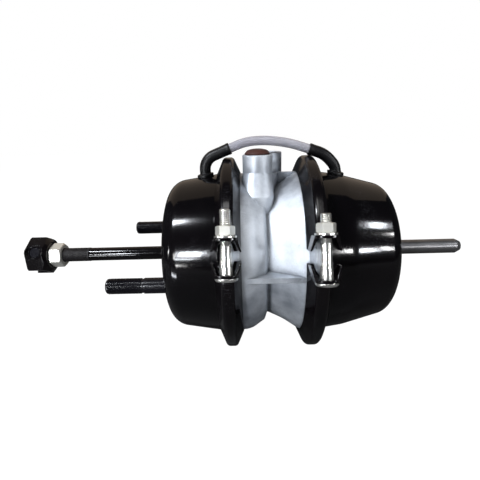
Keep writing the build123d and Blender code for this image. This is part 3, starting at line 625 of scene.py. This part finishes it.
def turn_profile(stations, segments=64, stand_out=None, closed=False):
    """Turn (x, r) stations about X; a radius of zero is a tip."""
    rings = []
    for x, r in stations:
        ring = []
        for k in range(segments if r > 0 else 1):
            share = k / segments
            radius = r + (stand_out(x, share, r) if stand_out and r > 0 else 0.0)
            ring.append((x, radius * cos(2 * pi * share), radius * sin(2 * pi * share)))
        rings.append(ring)
    return skin_over(rings, closed)


print("a turned disc has", len(turn_profile([(0, 0), (0, 1), (1, 1), (1, 0)]).faces), "faces")

# %% Pieces from shapes
def make_piece(name, shapes, finish, body=None, replaces=(), sharp=32.0, slot=None):
    """One object from shapes, with sharp edges kept where the surface turns quickly."""
    slot = slot or plain_name(finish)
    vertices, faces = [], []
    for shape in shapes:
        first = len(vertices)
        vertices.extend(shape.vertices)
        faces.extend(tuple(first + v for v in face) for face in shape.faces)
    mesh = bpy.data.meshes.new(name)
    mesh.from_pydata(vertices, [], faces)
    draft = bmesh.new()
    draft.from_mesh(mesh)
    bmesh.ops.recalc_face_normals(draft, faces=draft.faces)
    draft.to_mesh(mesh)
    draft.free()
    mesh.shade_smooth()
    mesh.set_sharp_from_angle(angle=radians(sharp))
    mesh.materials.append(finish)
    piece = bpy.data.objects.new(name, mesh)
    scene.collection.objects.link(piece)
    if body:
        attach(piece, body)
    if replaces:
        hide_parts(*replaces)
    print(name, "faces:", len(mesh.polygons))
    return piece


print("pieces take their finish as their one material")

# %% Threads and rounded corners
STATIONS_PER_PITCH = 6
UPRIGHT = Matrix.Rotation(-pi / 2, 4, "Y")  # stands a shape that was turned about X on end


def thread_wave(start, end, pitch, depth):
    """How far a V thread stands below its crest; it fades out over one pitch at both ends."""
    low, high = min(start, end), max(start, end)

    def stand_out(x, share, r):
        if not low <= x <= high or r <= depth:
            return 0.0
        fade = min(1.0, (x - low) / pitch, (high - x) / pitch)
        phase = (x / pitch - share) % 1.0
        return -depth * fade * abs(2 * phase - 1)

    return stand_out


def thread_stations(start, end, r, pitch):
    """Stations close enough together to carry the wave."""
    count = max(2, round(abs(end - start) / pitch * STATIONS_PER_PITCH))
    return [(start + (end - start) * k / count, r) for k in range(count + 1)]


def rounded(x, r, radius, along_x, along_r, steps=5):
    """Stations of a quarter round that replaces the corner at (x, r)."""
    centre_x = x - along_x * radius
    centre_r = r - along_r * radius
    turns = [k * pi / 2 / steps for k in range(steps + 1)]
    return [(centre_x + along_x * radius * sin(a), centre_r + along_r * radius * cos(a)) for a in turns]


print("stations on a quarter round:", len(rounded(0, 1, 1, 1, 1)))

# %% [markdown]
# ## Mounting studs
#
# Two M16 studs hold the chamber to its bracket. Each is a forged head inside the housing, a plain
# shank where it passes the wall, a short relief where the thread tool ran out, and a fine rolled
# thread to its round tip. All of that is one profile, turned once and placed twice.

# %% Mounting studs
STUD_CIRCLE_R = 60.325 * MM
STUD_TILT = 13.73
STUD_R = 8.0 * MM
STUD_HEAD_R = 12.0 * MM
STUD_HEAD = 5.0 * MM
STUD_PLAIN = 21.0 * MM
STUD_RELIEF = 2.0 * MM
STUD_RELIEF_R = 7.1 * MM
STUD_TIP = 3.0 * MM
STUD_EASE = 0.5 * MM  # the step down into the relief, and the one up to the first crest
STUD_RUN_IN = 0.4 * MM  # from the relief up to half the thread's depth
STUD_PITCH = 1.5 * MM
STUD_THREAD_DEPTH = 0.75 * MM


def stud_shape():
    low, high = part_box("mounting_studs")
    head_back = high.x - STUD_HEAD
    crown = rounded(high.x, STUD_HEAD_R, STUD_HEAD / 2, 1, 1)[::-1]
    tip = rounded(low.x, STUD_R, STUD_TIP, -1, 1)
    thread_start = -STUD_PLAIN - STUD_RELIEF
    thread_end = low.x + STUD_TIP
    stations = [(high.x, 0.0)] + crown + [(head_back, STUD_HEAD_R), (head_back, STUD_R)]
    stations += [(-STUD_PLAIN + STUD_EASE, STUD_R), (-STUD_PLAIN, STUD_RELIEF_R)]
    stations += [(thread_start, STUD_RELIEF_R)]
    stations += [(thread_start - STUD_RUN_IN, STUD_R - STUD_THREAD_DEPTH / 2)]
    stations += thread_stations(thread_start - STUD_RUN_IN - STUD_EASE, thread_end, STUD_R, STUD_PITCH)
    stations += tip[1:] + [(low.x, 0.0)]
    wave = thread_wave(thread_start, low.x + STUD_TIP / 2, STUD_PITCH, STUD_THREAD_DEPTH)
    return turn_profile(stations, 56, wave)


studs = []
for side in (180.0, 0.0):
    turn = Matrix.Rotation(radians(side + STUD_TILT), 4, "X")
    studs.append(stud_shape().placed(turn @ Matrix.Translation((0, STUD_CIRCLE_R, 0))))
make_piece("threaded_studs", studs, STUD_BLACK, "chamber", ["mounting_studs"])

# %% [markdown]
# ## Pushrod
#
# The rod is enamelled up to the masking line, and bare of enamel where its thread takes the lock
# nut and clevis. Two finishes on one turned part could be one mesh with two materials; here they
# are two pieces that meet at the masking line, because the step in radius is there as well.

# %% Pushrod
ROD_R = 7.5 * MM
ROD_THREAD_R = 7.9 * MM
ROD_THREAD_X = -97.5 * MM
ROD_PITCH = 1.5 * MM
ROD_THREAD_DEPTH = 0.55 * MM
ROD_COLLAR_R = 13.0 * MM
ROD_COLLAR = 5.0 * MM
ROD_COLLAR_X = 89.9 * MM
ROD_COLLAR_CHAMFER = 3.0 * MM
ROD_END_CHAMFER = 0.4 * MM
ROD_STEP = 0.5 * MM  # length of the small cone from the shank up to the thread
ROD_THREAD_EDGE = 0.2 * MM
ROD_TIP_CHAMFER = 1.0 * MM

low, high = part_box("pushrod")
collar_front = ROD_COLLAR_X - ROD_COLLAR
shank = [(high.x, 0.0), (high.x, ROD_R - ROD_END_CHAMFER), (high.x - ROD_END_CHAMFER, ROD_R)]
shank += [(ROD_COLLAR_X, ROD_R), (ROD_COLLAR_X, ROD_COLLAR_R)]
shank += [(collar_front + ROD_COLLAR_CHAMFER, ROD_COLLAR_R)]
shank += [(collar_front, ROD_COLLAR_R - ROD_COLLAR_CHAMFER), (collar_front, ROD_R)]
shank += [(ROD_THREAD_X, ROD_R), (ROD_THREAD_X, 0.0)]
make_piece("pushrod_shank", [turn_profile(shank)], ROD_BLACK, "pushrod", ["pushrod"])
tip = low.x
start, end = ROD_THREAD_X - ROD_STEP, tip + ROD_TIP_CHAMFER
thread = [(ROD_THREAD_X, 0.0), (ROD_THREAD_X, ROD_R - ROD_THREAD_EDGE), (start, ROD_THREAD_R)]
thread += thread_stations(start - ROD_STEP, end, ROD_THREAD_R, ROD_PITCH)
thread += [(tip, ROD_THREAD_R - ROD_TIP_CHAMFER), (tip, 0.0)]
wave = thread_wave(start, tip + ROD_TIP_CHAMFER / 2, ROD_PITCH, ROD_THREAD_DEPTH)
turned = turn_profile(thread, 48, wave)
make_piece("pushrod_thread", [turned], THREAD_BLACK, "pushrod", slot="rod_black")

# %% [markdown]
# ## Clamp bolts
#
# Each band is closed by two 3/8 inch bolts. The head is a low dome that bears on one tab, and next
# to it the shank is thicker, so that the bolt can't turn in its hole. The bolts lie across the
# band's split, tilted with it. The same places serve the nuts, so they are worked out once.

# %% Clamp bolts
SERVICE_BAND_X = 65.5 * MM
SPRING_BAND_X = 148.2 * MM
SERVICE_SPLIT = 16.5
SPRING_SPLIT = 15.2
SERVICE_TAB = 14.0 * MM
SPRING_TAB = 17.0 * MM
TAB_SHEET = 2.5 * MM
BOLT_AXIS_R = 113.0 * MM
BOLT_R = 4.75 * MM
BOLT_HEAD_R = 9.8 * MM
BOLT_HEAD = 3.2 * MM
BOLT_NECK = 6.0 * MM
BOLT_NECK_R = 5.6 * MM
BOLT_NECK_RUN = 9.0 * MM
BOLT_LENGTH = 60.0 * MM
BOLT_PITCH = 1.59 * MM
BOLT_THREAD_DEPTH = 0.62 * MM
BOLT_THREAD_IN = 5.0 * MM  # how far the thread reaches in between the tabs
BOLT_TIP = 1.0 * MM
SEAT_GAP = 0.1 * MM


def at_clamp_bolts(make):
    """Shapes from a function of the tab's offset, on all four bolts' axes, +X along the bolt."""
    shapes = []
    bands = ((SERVICE_BAND_X, SERVICE_SPLIT, SERVICE_TAB), (SPRING_BAND_X, SPRING_SPLIT, SPRING_TAB))
    for band_x, split, tab in bands:
        for turn in (0.0, 180.0):
            about = Matrix.Rotation(radians(turn - split), 4, "X")
            place = Matrix.Translation((band_x, BOLT_AXIS_R, 0))
            flip = Matrix.Rotation(radians(turn), 4, "X")
            shapes.append(make(tab).placed(about @ place @ flip @ UPRIGHT))
    return shapes


def clamp_bolt_shape(tab):
    seat = -tab - TAB_SHEET - SEAT_GAP
    tip = seat - BOLT_HEAD + BOLT_LENGTH
    neck_top = -tab + BOLT_NECK
    thread_start = tab - BOLT_THREAD_IN
    stations = [(seat - BOLT_HEAD, 0.0), (seat - BOLT_HEAD, BOLT_HEAD_R - BOLT_HEAD * 1.4)]
    dome = rounded(seat - BOLT_HEAD, BOLT_HEAD_R, BOLT_HEAD * 0.8, -1, 1, 6)[::-1]
    stations += dome + [(seat - 0.15 * MM, BOLT_HEAD_R), (seat, BOLT_HEAD_R - 0.2 * MM)]
    stations += [(seat, BOLT_R), (-tab + SEAT_GAP, BOLT_R), (-tab + SEAT_GAP, BOLT_NECK_R)]
    stations += [(neck_top, BOLT_NECK_R), (neck_top + BOLT_NECK_RUN, BOLT_R)]
    stations += thread_stations(thread_start, tip - BOLT_TIP, BOLT_R, BOLT_PITCH)
    stations += [(tip - 0.8 * MM, BOLT_R - 0.3 * MM), (tip, BOLT_R - BOLT_TIP), (tip, 0.0)]
    wave = thread_wave(thread_start, tip, BOLT_PITCH, BOLT_THREAD_DEPTH)
    return turn_profile(stations, 40, wave)


make_piece("threaded_clamp_bolts", at_clamp_bolts(clamp_bolt_shape), ZINC, "chamber", ["clamp_bolts"])

# %% [markdown]
# ## Nuts
#
# A hexagon nut is a prism cut by two cones, which leaves the curved edges that light runs along.
# Booleans would do it, but turning does too: at every angle the radius is the smaller of the
# hexagon's and the cone's. The bore carries the same wave as the bolts, turned inside out.

# %% Nuts
def hexagon_r(share, flats):
    """Radius of a hexagon at a share of a full turn; a corner lies at a twelfth."""
    from_middle = (share * 360.0 + 30.0) % 60.0 - 30.0
    return flats / 2 / cos(radians(from_middle))


def nut_shape(start, end, flats, bore_r, pitch, depth):
    """A nut from start to end along X."""
    corner_r = flats / sqrt(3)
    face_r = flats / 2 * NUT_FACE_SHARE
    rise = (corner_r - face_r) * tan(radians(NUT_CONE_ANGLE))
    sign = 1 if end > start else -1
    shares = [k / NUT_CONE_STEPS for k in range(NUT_CONE_STEPS + 1)]
    cone = [(share * rise, face_r + share * (corner_r - face_r)) for share in shares]
    stations = [(start, bore_r + depth)] + [(start + sign * x, r) for x, r in cone]
    stations += [(end - sign * x, r) for x, r in cone[::-1]]
    stations += [(end, bore_r + depth)]
    stations += thread_stations(end - sign * depth, start + sign * depth, bore_r, pitch)
    wave = thread_wave(start, end, pitch, depth)

    def stand_out(x, share, r):
        if r > bore_r + depth:
            return min(0.0, hexagon_r(share, flats) - r)
        if r > bore_r:
            return 0.0
        return -wave(x, share, r)

    return turn_profile(stations, NUT_SEGMENTS, stand_out, closed=True)


NUT_FLATS = 14.3 * MM
NUT_HEIGHT = 8.2 * MM
WASHER_SHEET = 1.6 * MM
LOCK_NUT_FLATS = 24.0 * MM
LOCK_NUT_ROLL = -15.0  # turned until one flat faces forward and a little up
LOCK_NUT_CUT = 0.35 * MM
CLAMP_NUT_CUT = 0.30 * MM
CLAMP_NUT_GAP = 0.06 * MM
NUT_FACE_SHARE = 0.95  # the flat round face, as a share of the hexagon's width
NUT_CONE_ANGLE = 30.0
NUT_CONE_STEPS = 7
NUT_SEGMENTS = 72
NUT_SHARP = 24.0


def clamp_nut_shape(tab):
    start = tab + TAB_SHEET + WASHER_SHEET + 2 * SEAT_GAP
    end = start + NUT_HEIGHT
    return nut_shape(start, end, NUT_FLATS, BOLT_R + CLAMP_NUT_GAP, BOLT_PITCH, CLAMP_NUT_CUT)


def lock_nut_shape():
    low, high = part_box("lock_nut")
    bore_r = ROD_THREAD_R + SEAT_GAP
    shape = nut_shape(low.x, high.x, LOCK_NUT_FLATS, bore_r, ROD_PITCH, LOCK_NUT_CUT)
    return shape.placed(Matrix.Rotation(radians(LOCK_NUT_ROLL), 4, "X"))


make_piece(
    "cut_clamp_nuts", at_clamp_bolts(clamp_nut_shape), ZINC_YELLOW, "chamber", ["clamp_nuts"], NUT_SHARP
)
make_piece("cut_lock_nut", [lock_nut_shape()], ZINC_YELLOW, "pushrod", ["lock_nut"], NUT_SHARP)

# %% [markdown]
# ## Clevis pin
#
# The forging is supplied with its pin pushed in, so that it isn't lost before the lever is fitted.
# It ends flush with both cheeks. It is a turned part with a chamfer at each end: one profile,
# placed along the bore.

# %% Clevis pin
CLEVIS_ROLL = -30.0
CLEVIS_PIN_R = 6.3 * MM
CLEVIS_PIN_HALF = 17.2 * MM
CLEVIS_PIN_INSET = 9.5 * MM
CLEVIS_PIN_CHAMFER = 0.9 * MM


half, r, chamfer = CLEVIS_PIN_HALF, CLEVIS_PIN_R, CLEVIS_PIN_CHAMFER
profile = [(-half, 0.0), (-half, r - chamfer), (-half + chamfer, r)]
profile += [(half - chamfer, r), (half, r - chamfer), (half, 0.0)]
low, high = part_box("clevis")
place = Matrix.Translation((low.x + CLEVIS_PIN_INSET, 0, 0))
turn = Matrix.Rotation(radians(CLEVIS_ROLL), 4, "X") @ Matrix.Rotation(pi / 2, 4, "Z")
make_piece("clevis_pin", [turn_profile(profile, 40).placed(place @ turn)], STUD_BLACK, "pushrod")

# %% [markdown]
# ## Springs
#
# Three coil springs are inside: one brings the pushrod back, one brings the adapter rod back, and
# the large one applies the brake when the air is gone. A curve with a round bevel would draw a
# helix, but its ends would stick out like hooks. Real ends are closed, so the helix below climbs
# only between its two dead turns.

# %% Coil springs
STEPS_PER_TURN = 44
CLIMB_EASE = 0.35  # how gently the climb begins and ends
TURN_SHARE = 0.25  # part of the cone that comes from turning and not from climbing
DEAD_TURNS = 0.75  # at each end
WIRE_SHARP = 60.0


def coil_shape(x_start, x_end, r_start, r_end, wire_r, turns, round_steps):
    """A conical compression spring about X that stands between two faces."""
    steps = round(turns * STEPS_PER_TURN)
    height = x_end - x_start - 2 * wire_r
    centres = []
    for k in range(steps + 1):
        done = turns * k / steps
        climb = min(max((done - DEAD_TURNS) / (turns - 2 * DEAD_TURNS), 0.0), 1.0)
        eased = climb * climb * (3 - 2 * climb)
        climb += (eased - climb) * CLIMB_EASE
        x = x_start + wire_r + height * climb
        narrowing = TURN_SHARE * done / turns + (1 - TURN_SHARE) * climb
        r = r_start + (r_end - r_start) * narrowing
        centres.append(Vector((x, r * cos(2 * pi * done), r * sin(2 * pi * done))))
    rings = [[tuple(centres[0])]]
    for k, centre in enumerate(centres):
        ahead = (centres[min(k + 1, steps)] - centres[max(k - 1, 0)]).normalized()
        outward = Vector((0, centre.y, centre.z)).normalized()
        side = ahead.cross(outward).normalized()
        outward = side.cross(ahead)
        ring = []
        for j in range(round_steps):
            a = 2 * pi * j / round_steps
            ring.append(tuple(centre + outward * (wire_r * cos(a)) + side * (wire_r * sin(a))))
        rings.append(ring)
    return skin_over(rings + [[tuple(centres[-1])]])


def wind(name, node, body, r_start, r_end, wire_r, turns, round_steps=12):
    """A spring between the two seats of its CAD envelope, and the X of both seats."""
    low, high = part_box(node)
    coil = coil_shape(low.x, high.x, r_start, r_end, wire_r, turns, round_steps)
    return make_piece(name, [coil], SPRING_STEEL, body, [node], WIRE_SHARP), low.x, high.x


return_spring, start, end = wind(
    "wound_return_spring", "service_return_spring", "chamber", 42 * MM, 26 * MM, 2.25 * MM, 5.5
)
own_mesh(return_spring)

adapter_spring, start, end = wind(
    "wound_adapter_spring", "adapter_return_spring", "chamber", 42 * MM, 25 * MM, 1.75 * MM, 4.0
)
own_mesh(adapter_spring)

power_spring, start, end = wind(
    "wound_power_spring", "power_spring", None, 56 * MM, 30 * MM, 5.5 * MM, 3.5, round_steps=16
)
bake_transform(power_spring)

# %% [markdown]
# ## Diaphragms
#
# Each diaphragm is a cup of rubber on fabric, about three millimetres thick, with a wedge-shaped
# bead that the clamp band grips. The cup could be cloth that is pushed, but a turned profile is
# enough: down the outside, through the bead, and back along the inside. It rolls inside out as
# its plate moves.

# %% Diaphragms
BAND_R = 104.5 * MM
BAND_CREST_HALF = 5.0 * MM
FLANK = radians(24.0)
SHEETS = (2.5 + 0.1 + 3.0) * MM
BEAD_R = 97.5 * MM
BEAD_FOOT_R = 89.5 * MM
DIAPHRAGM_SHEET = 3.0 * MM
SKIN_START = 4.0 * MM  # from the band's middle to where the skin leaves the bead
KNEE_ROUND = 14.0 * MM
BACK_ROUND = 8.0 * MM


def bead_half(r):
    """Half the bead's width at a radius, just inside the two rims that grip it."""
    return BAND_CREST_HALF + (BAND_R - r) * tan(FLANK) - SHEETS / cos(FLANK) - 0.1 * MM


def arc_steps(a, b, c, radius, steps=6):
    """Stations of an arc that rounds the corner at b between a and c."""
    before = (Vector(a) - Vector(b)).normalized()
    after = (Vector(c) - Vector(b)).normalized()
    half = before.angle(after) / 2
    reach = radius / tan(half)
    centre = Vector(b) + (before + after).normalized() * (radius / sin(half))
    first = Vector(b) + before * reach - centre
    last = Vector(b) + after * reach - centre
    turn = atan2(first.x * last.y - first.y * last.x, first.dot(last))
    found = []
    for k in range(steps + 1):
        angle = turn * k / steps
        x = centre.x + first.x * cos(angle) - first.y * sin(angle)
        r = centre.y + first.x * sin(angle) + first.y * cos(angle)
        found.append((x, r))
    return found


def cup_shape(band_x, wall_r, knee, back):
    """A cup whose skin runs from the bead over its knee to the flat back."""
    foot, crown = bead_half(BEAD_FOOT_R), bead_half(BEAD_R)
    skin = [(band_x + foot, BEAD_FOOT_R), (band_x + SKIN_START, wall_r)]
    skin += arc_steps(skin[-1], knee, back, KNEE_ROUND)
    skin += arc_steps(knee, back, (back[0], 0.0), BACK_ROUND)
    skin += [(back[0], back[1] * share) for share in (0.6, 0.3, 0.0)]
    inner = [(band_x + crown, BEAD_R), (band_x - crown, BEAD_R), (band_x - foot, BEAD_FOOT_R)]
    inner += [(x - DIAPHRAGM_SHEET, max(r - DIAPHRAGM_SHEET, 0.0)) for x, r in skin[2:]]
    return turn_profile(skin[::-1] + inner, 96)


low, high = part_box("service_diaphragm")
service_cup = cup_shape(SERVICE_BAND_X, 81.0 * MM, (80.0 * MM, 80.4 * MM), (high.x, 67.0 * MM))
service_cup = make_piece(
    "moulded_service_diaphragm", [service_cup], DIAPHRAGM, None, ["service_diaphragm"]
)
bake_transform(service_cup)
low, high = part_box("spring_diaphragm")
spring_cup = cup_shape(SPRING_BAND_X, 80.6 * MM, (163.0 * MM, 79.6 * MM), (high.x, 64.0 * MM))
spring_cup = make_piece("moulded_spring_diaphragm", [spring_cup], DIAPHRAGM, None, ["spring_diaphragm"])
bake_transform(spring_cup)

# %% [markdown]
# ## Rubber elbows and seals
#
# The elbows are pulled into their holes from outside: a groove grips the sheet, a flange lies on
# the wall, and a stretched lip holds the tube. The lower part follows the curved wall, the upper
# part the run of the tube, and their rings are bridged into one closed skin. A fine ridge is left
# where the halves of the mould met. The seals are O-rings, flattened where they are squeezed.

# %% Rubber elbows
ELBOW_R = 5.75 * MM
ELBOW_BORE_R = 3.5 * MM
ELBOW_LIP = 0.30 * MM
ELBOW_LIP_RUN = 3.2 * MM
SOCKET_R = 4.80 * MM
SOCKET_DEPTH = 12.0 * MM
SOCKET_STEPS = 12
BEND_STEPS = 14
MOULD_RIDGE = 0.13 * MM
ELBOW_RING = 48
ELBOW_STAND = 4.9 * MM  # where the run of the tube begins, above the wall
GROMMET = [
    # height above the wall and radius, in mm, from the outside inwards
    (4.4, 5.75), (3.6, 6.0), (3.1, 6.7), (3.0, 8.0), (2.7, 8.5), (2.2, 8.6), (0.4, 8.6), (-0.1, 8.3),
    (-0.1, 5.5), (-3.0, 5.5), (-3.05, 6.8), (-4.4, 6.8), (-5.4, 6.0), (-5.5, 5.6), (-5.5, 3.5),
]


def rounded_run(corners):
    """Points in the XZ plane through corners of (x, z, radius), with both ends as they are."""
    run = [Vector(corners[0][:2])]
    for before, corner, after in zip(corners, corners[1:], corners[2:]):
        bend = arc_steps(before[:2], corner[:2], after[:2], corner[2], BEND_STEPS)
        run += [Vector(point) for point in bend]
    mouth = Vector(corners[-1][:2])
    straight = mouth - run[-1]
    for k in range(SOCKET_STEPS, -1, -1):
        to_mouth = SOCKET_DEPTH * k / SOCKET_STEPS
        if to_mouth < straight.length:
            run.append(mouth - straight.normalized() * to_mouth)
    return run


def ring_across(run, k, r):
    """A ring square to the run at its vertex k, with the mould's ridge in the plane of the run."""
    ahead = (run[min(k + 1, len(run) - 1)] - run[max(k - 1, 0)]).normalized()
    points = []
    for step in range(ELBOW_RING):
        turn = 2 * pi * step / ELBOW_RING
        out = r + (MOULD_RIDGE if step % (ELBOW_RING // 2) == 0 and r > SOCKET_R else 0.0)
        side = out * cos(turn)
        points.append((run[k].x - ahead.y * side, out * sin(turn), run[k].y + ahead.x * side))
    return points


def elbow_shape(wall_r, wall_slope, corners):
    """An elbow that stands on a wall of this radius and slope and follows the corners."""
    foot_x = corners[0][0]
    stand = wall_r + ELBOW_STAND
    run = rounded_run([(foot_x, stand, 0.0)] + corners[1:])
    run = run[:1] + [point for point in run[1:] if point.y > stand]

    def on_wall(height, r):
        points = []
        for step in range(ELBOW_RING):
            turn = 2 * pi * step / ELBOW_RING
            x, y = -r * cos(turn), r * sin(turn)
            points.append((foot_x + x, y, sqrt((wall_r + wall_slope * x) ** 2 - y * y) + height))
        return points

    def lip(k):
        left = (run[-1] - run[k]).length
        return ELBOW_LIP * sqrt(sin(pi * min(left / ELBOW_LIP_RUN, 1.0))) if left > 0 else 0.0

    rings = [on_wall(h * MM, r * MM) for h, r in GROMMET[::-1]]
    rings += [ring_across(run, k, ELBOW_R + lip(k)) for k in range(len(run))]
    for k in range(len(run) - 1, -1, -1):
        in_socket = (run[-1] - run[k]).length < SOCKET_DEPTH
        rings.append(ring_across(run, k, SOCKET_R if in_socket else ELBOW_BORE_R))
    return skin_over(rings, closed=True)


def in_metres(corners):
    return [tuple(value * MM for value in corner) for corner in corners]


SERVICE_RUN = in_metres([(40.4, 88.0, 0), (40.4, 103.5, 15.5), (67.6, 114.04, 0)])
SPRING_RUN = in_metres(
    [(179.0, 87.0, 0), (179.0, 92.0, 16.0), (167.0, 105.4, 30.5), (150.0, 111.10, 0)]
)
SERVICE_WALL = (85.44 * MM, 0.15)
SPRING_WALL = (84.35 * MM, -0.20)
service_elbow = elbow_shape(*SERVICE_WALL, SERVICE_RUN)
make_piece("moulded_service_elbow", [service_elbow], RUBBER_BLACK, "chamber", ["vent_elbow_service"])
spring_elbow = elbow_shape(*SPRING_WALL, SPRING_RUN)
make_piece("moulded_spring_elbow", [spring_elbow], RUBBER_BLACK, "chamber", ["vent_elbow_spring"])

# %% Rod seals
SEAL_SECTION_R = 1.45 * MM
SEAL_SQUEEZE = 0.10 * MM


def seal_shape(middle, middle_r):
    """An O-ring whose round section is flat where it is squeezed."""
    flat = SEAL_SECTION_R - SEAL_SQUEEZE
    section = []
    for k in range(24):
        turn = 2 * pi * k / 24
        out = min(max(SEAL_SECTION_R * cos(turn), -flat), flat)
        section.append((middle + SEAL_SECTION_R * sin(turn), middle_r + out))
    return turn_profile(section, 96, closed=True)


low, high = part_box("rod_seals")
seal_r = high.z - SEAL_SECTION_R
seals = [seal_shape(x, seal_r) for x in (low.x + SEAL_SECTION_R, high.x - SEAL_SECTION_R)]
make_piece("moulded_rod_seals", seals, RUBBER_BLACK, "chamber", ["rod_seals"])

# %% [markdown]
# ## The vent tube
#
# The tube joins the two elbows, so it's open inside. The CAD piece is solid, which is enough to
# place it. A Solidify modifier that works inwards gives it its wall and its hole, and light that
# goes through then bends as it does in a real tube: brighter in the middle, darker at the edges.

# %% Hollow tube
TUBE_WALL = 1.4 * MM
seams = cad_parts["vent_tube"].modifiers.new("seams", "WELD")
seams.merge_threshold = 0.02 * MM
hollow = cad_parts["vent_tube"].modifiers.new("wall", "SOLIDIFY")
hollow.thickness = TUBE_WALL
hollow.offset = -1.0
print("tube wall, mm:", round(hollow.thickness / MM, 2))

# %% [markdown]
# ## Port plug
#
# A soft plastic cap keeps dirt out of the service port until an air line is fitted. It is moulded
# with a low domed head, a rim to pull it by, and a stem with ribs that grip the thread.

# %% Port plug
PLUG_HEAD_R = 12.6 * MM
PLUG_STEM_R = 9.9 * MM
PLUG_ROOT_R = PLUG_STEM_R - 0.5 * MM
PLUG_FOOT_R = PLUG_STEM_R - 1.2 * MM
PLUG_RIM = 1.8 * MM
PLUG_HEAD = 5.5 * MM
PLUG_EDGE = 0.3 * MM
PLUG_RIBS = 4
PLUG_PLAIN = 1.0 * MM  # of the stem, above the ribs and below them
DOME_STEPS = 8
DOME_SHARE = 0.94  # how far the dome reaches over the head
PLUG_X = 95.5 * MM
PLUG_Y = -19.25 * MM

low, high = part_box("port_plug")
seat = high.z - PLUG_HEAD
crown = PLUG_HEAD - PLUG_RIM
dome = [(high.z, 0.0)]
for k in range(1, DOME_STEPS):
    share = k / DOME_STEPS
    height = seat + PLUG_RIM + crown * sqrt(1 - share ** 2)
    dome.append((height, PLUG_HEAD_R * share * DOME_SHARE))
rim = [(seat + PLUG_RIM, PLUG_HEAD_R * 0.95), (seat + PLUG_RIM * 0.7, PLUG_HEAD_R)]
rim += [(seat + PLUG_EDGE, PLUG_HEAD_R), (seat, PLUG_HEAD_R - PLUG_EDGE), (seat, PLUG_ROOT_R)]
run = (seat - low.z - 2 * PLUG_PLAIN) / PLUG_RIBS
for k in range(PLUG_RIBS):
    top = seat - PLUG_PLAIN - run * k
    rim += [(top, PLUG_ROOT_R), (top - run * 0.3, PLUG_STEM_R), (top - run * 0.9, PLUG_ROOT_R)]
foot = [(low.z, PLUG_FOOT_R), (low.z, 0.0)]
plug = turn_profile(dome + rim + foot, 56)
plug = plug.placed(Matrix.Translation((PLUG_X, PLUG_Y, 0)) @ UPRIGHT)
make_piece("domed_port_plug", [plug], PLUG_BROWN, "port_plug", ["port_plug"])

# %% [markdown]
# ## Port thread
#
# The open port at the back is tapped M22 x 1.5. From above its thread is plain to see, as a ridge
# that climbs inside the bore. It is turned like the studs, but as a thin sleeve that lines the
# hole, with the wave standing inwards.

# %% Port thread
PORT_X = 108.4 * MM
PORT_Y = 19.25 * MM
PORT_TOP = 108.3 * MM
PORT_BORE_R = 10.2 * MM
PORT_THREAD_RUN = 13.0 * MM
PORT_THREAD_DEPTH = 0.7 * MM
PORT_COUNTERSINK = 0.6 * MM
PORT_PITCH = 1.5 * MM


def port_thread_shape():
    """A sleeve along X that lines the bore; its ridges stand inwards."""
    wall_r = PORT_BORE_R + 0.02 * MM
    top, foot = -PORT_COUNTERSINK, -PORT_THREAD_RUN
    wave = thread_wave(top, foot, PORT_PITCH, PORT_THREAD_DEPTH)
    inner = thread_stations(top, foot, PORT_BORE_R - 0.05 * MM, PORT_PITCH)
    stations = [(top, wall_r)] + inner + [(foot, wall_r)]

    def stand_out(x, share, r):
        return wave(x, share, r) if r < PORT_BORE_R else 0.0

    return turn_profile(stations, 48, stand_out, closed=True)


port_place = Matrix.Translation((PORT_X, PORT_Y, PORT_TOP)) @ UPRIGHT
make_piece("tapped_port_thread", [port_thread_shape().placed(port_place)], DIE_CAST, "chamber")

# %% [markdown]
# ## Measure and finish
#
# The dressed chamber should keep the size of its CAD model; both boxes are printed.

# %% Sizes
visual_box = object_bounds()
boxes = {
    "cad": [list(cad_box[0]), list(cad_box[1])],
    "visual": [list(visual_box[0]), list(visual_box[1])],
}
for label, (low, high) in boxes.items():
    print(label, "mm:", [round(c / MM, 1) for c in low], [round(c / MM, 1) for c in high])
